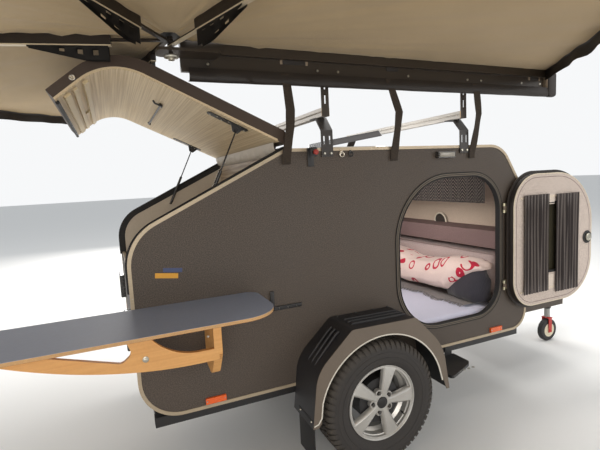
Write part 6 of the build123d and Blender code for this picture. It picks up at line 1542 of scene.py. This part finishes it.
gores = [gore(number) for number in range(4)]
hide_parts("awning_canopy")
for number in range(1, 5):
    turn = math.radians(ARM_TURNS[number - 1])
    out = Vector((math.cos(turn), math.sin(turn), 0))
    aside = Vector((-out.y, out.x, 0))
    shape = bmesh.new()
    reaches = (0.250, 0.290, 0.315, 0.350, 0.375, 0.420, 0.445, 0.480, 0.520, 0.560)
    for offset in (-0.0105, 0.0105):
        cells = []
        for reach in reaches:
            drop = 0.060 * min(1, max(0.12, 1 - (reach - 0.33) / 0.26))
            cells.append([shape.verts.new(hub + out * reach + aside * offset + Vector((0, 0,
                    2.1705 - drop * part)))
                          for part in (0, 0.22, 0.66, 1.0)])
        faces = []
        for k in range(len(reaches) - 1):
            for m in range(3):
                if m == 1 and k in (1, 3, 5):
                    continue
                faces.append(shape.faces.new((cells[k][m], cells[k + 1][m], cells[k + 1][m + 1],
                        cells[k][m + 1])))
        bmesh.ops.solidify(shape, geom=faces, thickness=0.0025)
    piece(f"arm_gusset_{number}", shape, black_steel, f"awning_arm_{number}")
    piece(f"arm_end_plug_{number}", formed(turned, [(0, 0.0), (0, 0.018), (0.012, 0.018), (0.016, 0.014),
            (0.016, 0)], hub + out * 2.448 + Vector((0, 0, 2.1925)), out, 4), black_plastic,
            f"awning_arm_{number}")


# Back plate trim: bag flap, end plate, webbing ties and the front corner guard.
webbing = finish("brown_webbing", None, 0.85, mottle=0.10, relief=0.5,
                 pattern=weave(tone(40, 33, 28), tone(62, 52, 42), 2400))
shape = bmesh.new()
rows = []
profile = ((-0.7665, 2.104), (-0.7720, 2.088), (-0.7760, 2.070), (-0.7740, 2.054), (-0.7650, 2.045),
           (-0.7500, 2.044), (-0.7400, 2.050))
for j, (y, height) in enumerate(profile):
    line = []
    for k in range(91):
        station = 0.330 + 2.362 * k / 90
        crumple = noise.noise(Vector((station * 9, j * 0.7, 5))) * 0.006 * (j > 0)
        line.append(spot(station, y + crumple, height + crumple * 0.5))
    rows.append(line)
loft(shape, rows, closed=False)
flap = piece("bag_flap", shape, bag_cloth, "trailer", 60)
for number, (top, bend, foot) in enumerate(((0.800, 0.822, 0.806), (1.418, 1.488, 1.482),
        (2.052, 2.088, 2.078))):
    shape = bmesh.new()
    path = [(top, -0.7700, 2.100), (top + (bend - top) * 0.3, -0.7720, 2.030), (bend, -0.7600, 1.925),
            (bend + 0.003, -0.7400, 1.840), ((bend + foot) / 2, -0.7260, 1.755), (foot, -0.7140, 1.690),
            (foot, -0.7130, 1.655)]
    rows = []
    for k in range(25):
        place = k / 24 * (len(path) - 1)
        whole = min(int(place), len(path) - 2)
        rest = place - whole
        centre = [a * (1 - rest) + b * rest for a, b in zip(path[whole], path[whole + 1])]
        twist = 0.003 * math.sin(k * 0.55 + number)
        rows.append([spot(centre[0] - 0.024 + 0.024 * m, centre[1] + twist * (m - 1),
                          centre[2]) for m in range(3)])
    loft(shape, rows, closed=False)
    bmesh.ops.recalc_face_normals(shape, faces=shape.faces)
    bmesh.ops.solidify(shape, geom=shape.faces[:], thickness=0.0016)
    strap = piece(f"tie_strap_{number + 1}", shape, webbing, "trailer", 50)
shape = bmesh.new()
block(shape, spot(2.6905, -0.768, 2.086), spot(2.6945, -0.726, 2.233), 0.001)
for low, high in ((0.787, 0.800), (0.926, 0.939), (2.545, 2.560), (2.640, 2.655)):
    block(shape, spot(low, -0.7420, 2.150), spot(high, -0.7395, 2.200), 0.0005)
piece("back_plate_end", shape, finish("end_plate_aluminium", tone(150, 132, 112), 0.4, metallic=0.4,
                                      mottle=0.06))
shape = bmesh.new()
for low, high in ((0.800, 0.926), (1.42, 1.50), (2.560, 2.640)):
    block(shape, spot(low, -0.7440, 2.150), spot(high, -0.7398, 2.198), 0.001)
piece("back_plate_windows", shape, bag_cloth)
piece("front_corner_guard", formed(block, spot(2.6950, -0.785, 2.042), spot(2.7700, -0.735, 2.205), 0.020,
                                   4), bag_cloth)
piece("pivot_cap", formed(turned, [(0, 0.030), (0.004, 0.032), (0.010, 0.030), (0.012, 0.014),
                                   (0.020, 0.013), (0.022, 0)], hub + Vector((0, 0, 2.134)), (0, 0, -1),
                                   32), zinc)
screws("back_plate_bolts", [spot(s, -0.7665, 2.122) for s in (0.42, 0.98, 1.10, 1.55, 1.99, 2.10, 2.45,
        2.62)], (0, -1, 0), 0.007, 0.004, zinc)
piece("hub_cover", formed(turned, [(0, 0.092), (0.0012, 0.090), (0.0014, 0.020), (0.0060, 0.018),
                                   (0.0060, 0)], hub + Vector((0, 0, 2.2180)), (0, 0, 1), 40),
                                   black_plastic)


# Side table: birch plywood brackets with their layers showing on the cut edges, and a top
# of the same board under a pale grey laminate, screwed to the side wall.
table_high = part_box("side_table_top")[1].z


def ply_grain(tree, place):
    drawn = stretched(tree, place, (3.0, 60.0, 60.0))
    grain = noise_at(tree, drawn, 1.0, 4.0, 0.8)
    return two_tone(tree, grain, tone(196, 138, 78), tone(226, 172, 108)), grain


def laminate_top(tree, place, speck):
    """Grey laminate above and plywood layers on the edge."""
    height = axes(tree, place)[2]
    layer = wave(tree, height, 2 * math.pi / 0.0034)
    edge = two_tone(tree, ramp(tree, layer, -0.2, 0.4),
                    tone(150, 104, 62), tone(220, 180, 128))
    face = calc(tree, "GREATER_THAN", height, table_high - 0.0009)
    return two_tone(tree, face, edge, tone(134, 142, 162)), speck


def ply_board(tree, place, speck):
    """Face grain, with darker layers on the edges of the upright arm board."""
    face, grain = ply_grain(tree, place)
    apart = axes(tree, place)
    layer = wave(tree, apart[1], 2 * math.pi / 0.0042)
    arm = calc(tree, "LESS_THAN", apart[1], -0.8965)
    inner = calc(tree, "GREATER_THAN", apart[1], -0.9175)
    share = calc(tree, "MULTIPLY", calc(tree, "MULTIPLY", arm, inner), calc(tree, "GREATER_THAN", layer,
            0.15))
    return two_tone(tree, calc(tree, "MULTIPLY", share, 0.55), face, tone(140, 92, 50)), grain


dress(finish("laminated_plywood_top", None, 0.62, mottle=0.10, relief=0.0, pattern=laminate_top),
      "side_table_top")
dress(finish("birch_plywood", None, 0.55, mottle=0.06, relief=0.2, pattern=ply_board), "side_table_bracket")
screws("table_screws", [spot(s, -0.9195, h) for s, h in ((0.032, 0.852), (0.300, 0.965), (0.300, 0.900))],
       (0, -1, 0), 0.006, 0.003, zinc)
piece("table_wall_batten", formed(block, spot(-0.300, -0.7115, 0.958), spot(0.595, -0.7035, 0.9998), 0.001),
      batten_wood)
piece("table_bolt", formed(turned, [(0, 0.013), (0.004, 0.013), (0.005, 0.009), (0.012, 0.009),
                                    (0.013, 0.005), (0.013, 0)], spot(0.032, -0.9185, 0.852), (0, -1, 0),
                                    20), zinc)


# Entry step: folded steel, painted black, with a punched tread and a strip of grip tape.
dress(black_steel, "entry_step")
shape = bmesh.new()
for k in range(6):
    for row in range(3):
        turned(shape, [(0, 0.010), (0.0016, 0.009), (0.0020, 0.006), (0.0004, 0.0045), (0.0004, 0)],
               spot(1.720 + 0.036 * k, -0.780 - 0.052 * row, 0.3772), (0, 0, 1), 12)
piece("step_tread_studs", shape, zinc)


# Tongue box: folded sheet with the wall's stippled coating, welded to the drawbar, under
# a lid on a rear hinge with two over-centre latches and a rubber seal.
dress(panel_coating, "tongue_box", "tongue_box_lid")
shape = bmesh.new()
line = rounded([(2.6650, -0.4995), (3.2650, -0.4995), (3.2650, 0.4995), (2.6650, 0.4995)], (0.006,) * 4, 3)
tube(shape, [spot(p.x, p.y, 0.7990) for p in line], 0.0035, 6, closed=True)
piece("box_seal", shape, rubber)
for side_name, side in SIDES:
    shape = bmesh.new()
    block(shape, spot(3.2655, side * 0.30 - 0.026, 0.690), spot(3.2715, side * 0.30 + 0.026, 0.752), 0.002)
    block(shape, spot(3.2715, side * 0.30 - 0.014, 0.700), spot(3.2790, side * 0.30 + 0.014, 0.746), 0.003)
    tube(shape, [spot(3.276, side * 0.30 + y, h) for y, h in ((-0.010, 0.742), (-0.010, 0.792),
            (0.010, 0.792), (0.010, 0.742))], 0.0025, 6)
    piece(f"box_latch_{side_name}", shape, zinc)
    shape = bmesh.new()
    for station in (2.6655, 3.2645):
        block(shape, spot(station - 0.0020, side * 0.4985 - 0.0020, 0.458),
              spot(station + 0.0020, side * 0.4985 + 0.0020, 0.796), 0.001)
    piece(f"box_corner_{side_name}", shape, edging)
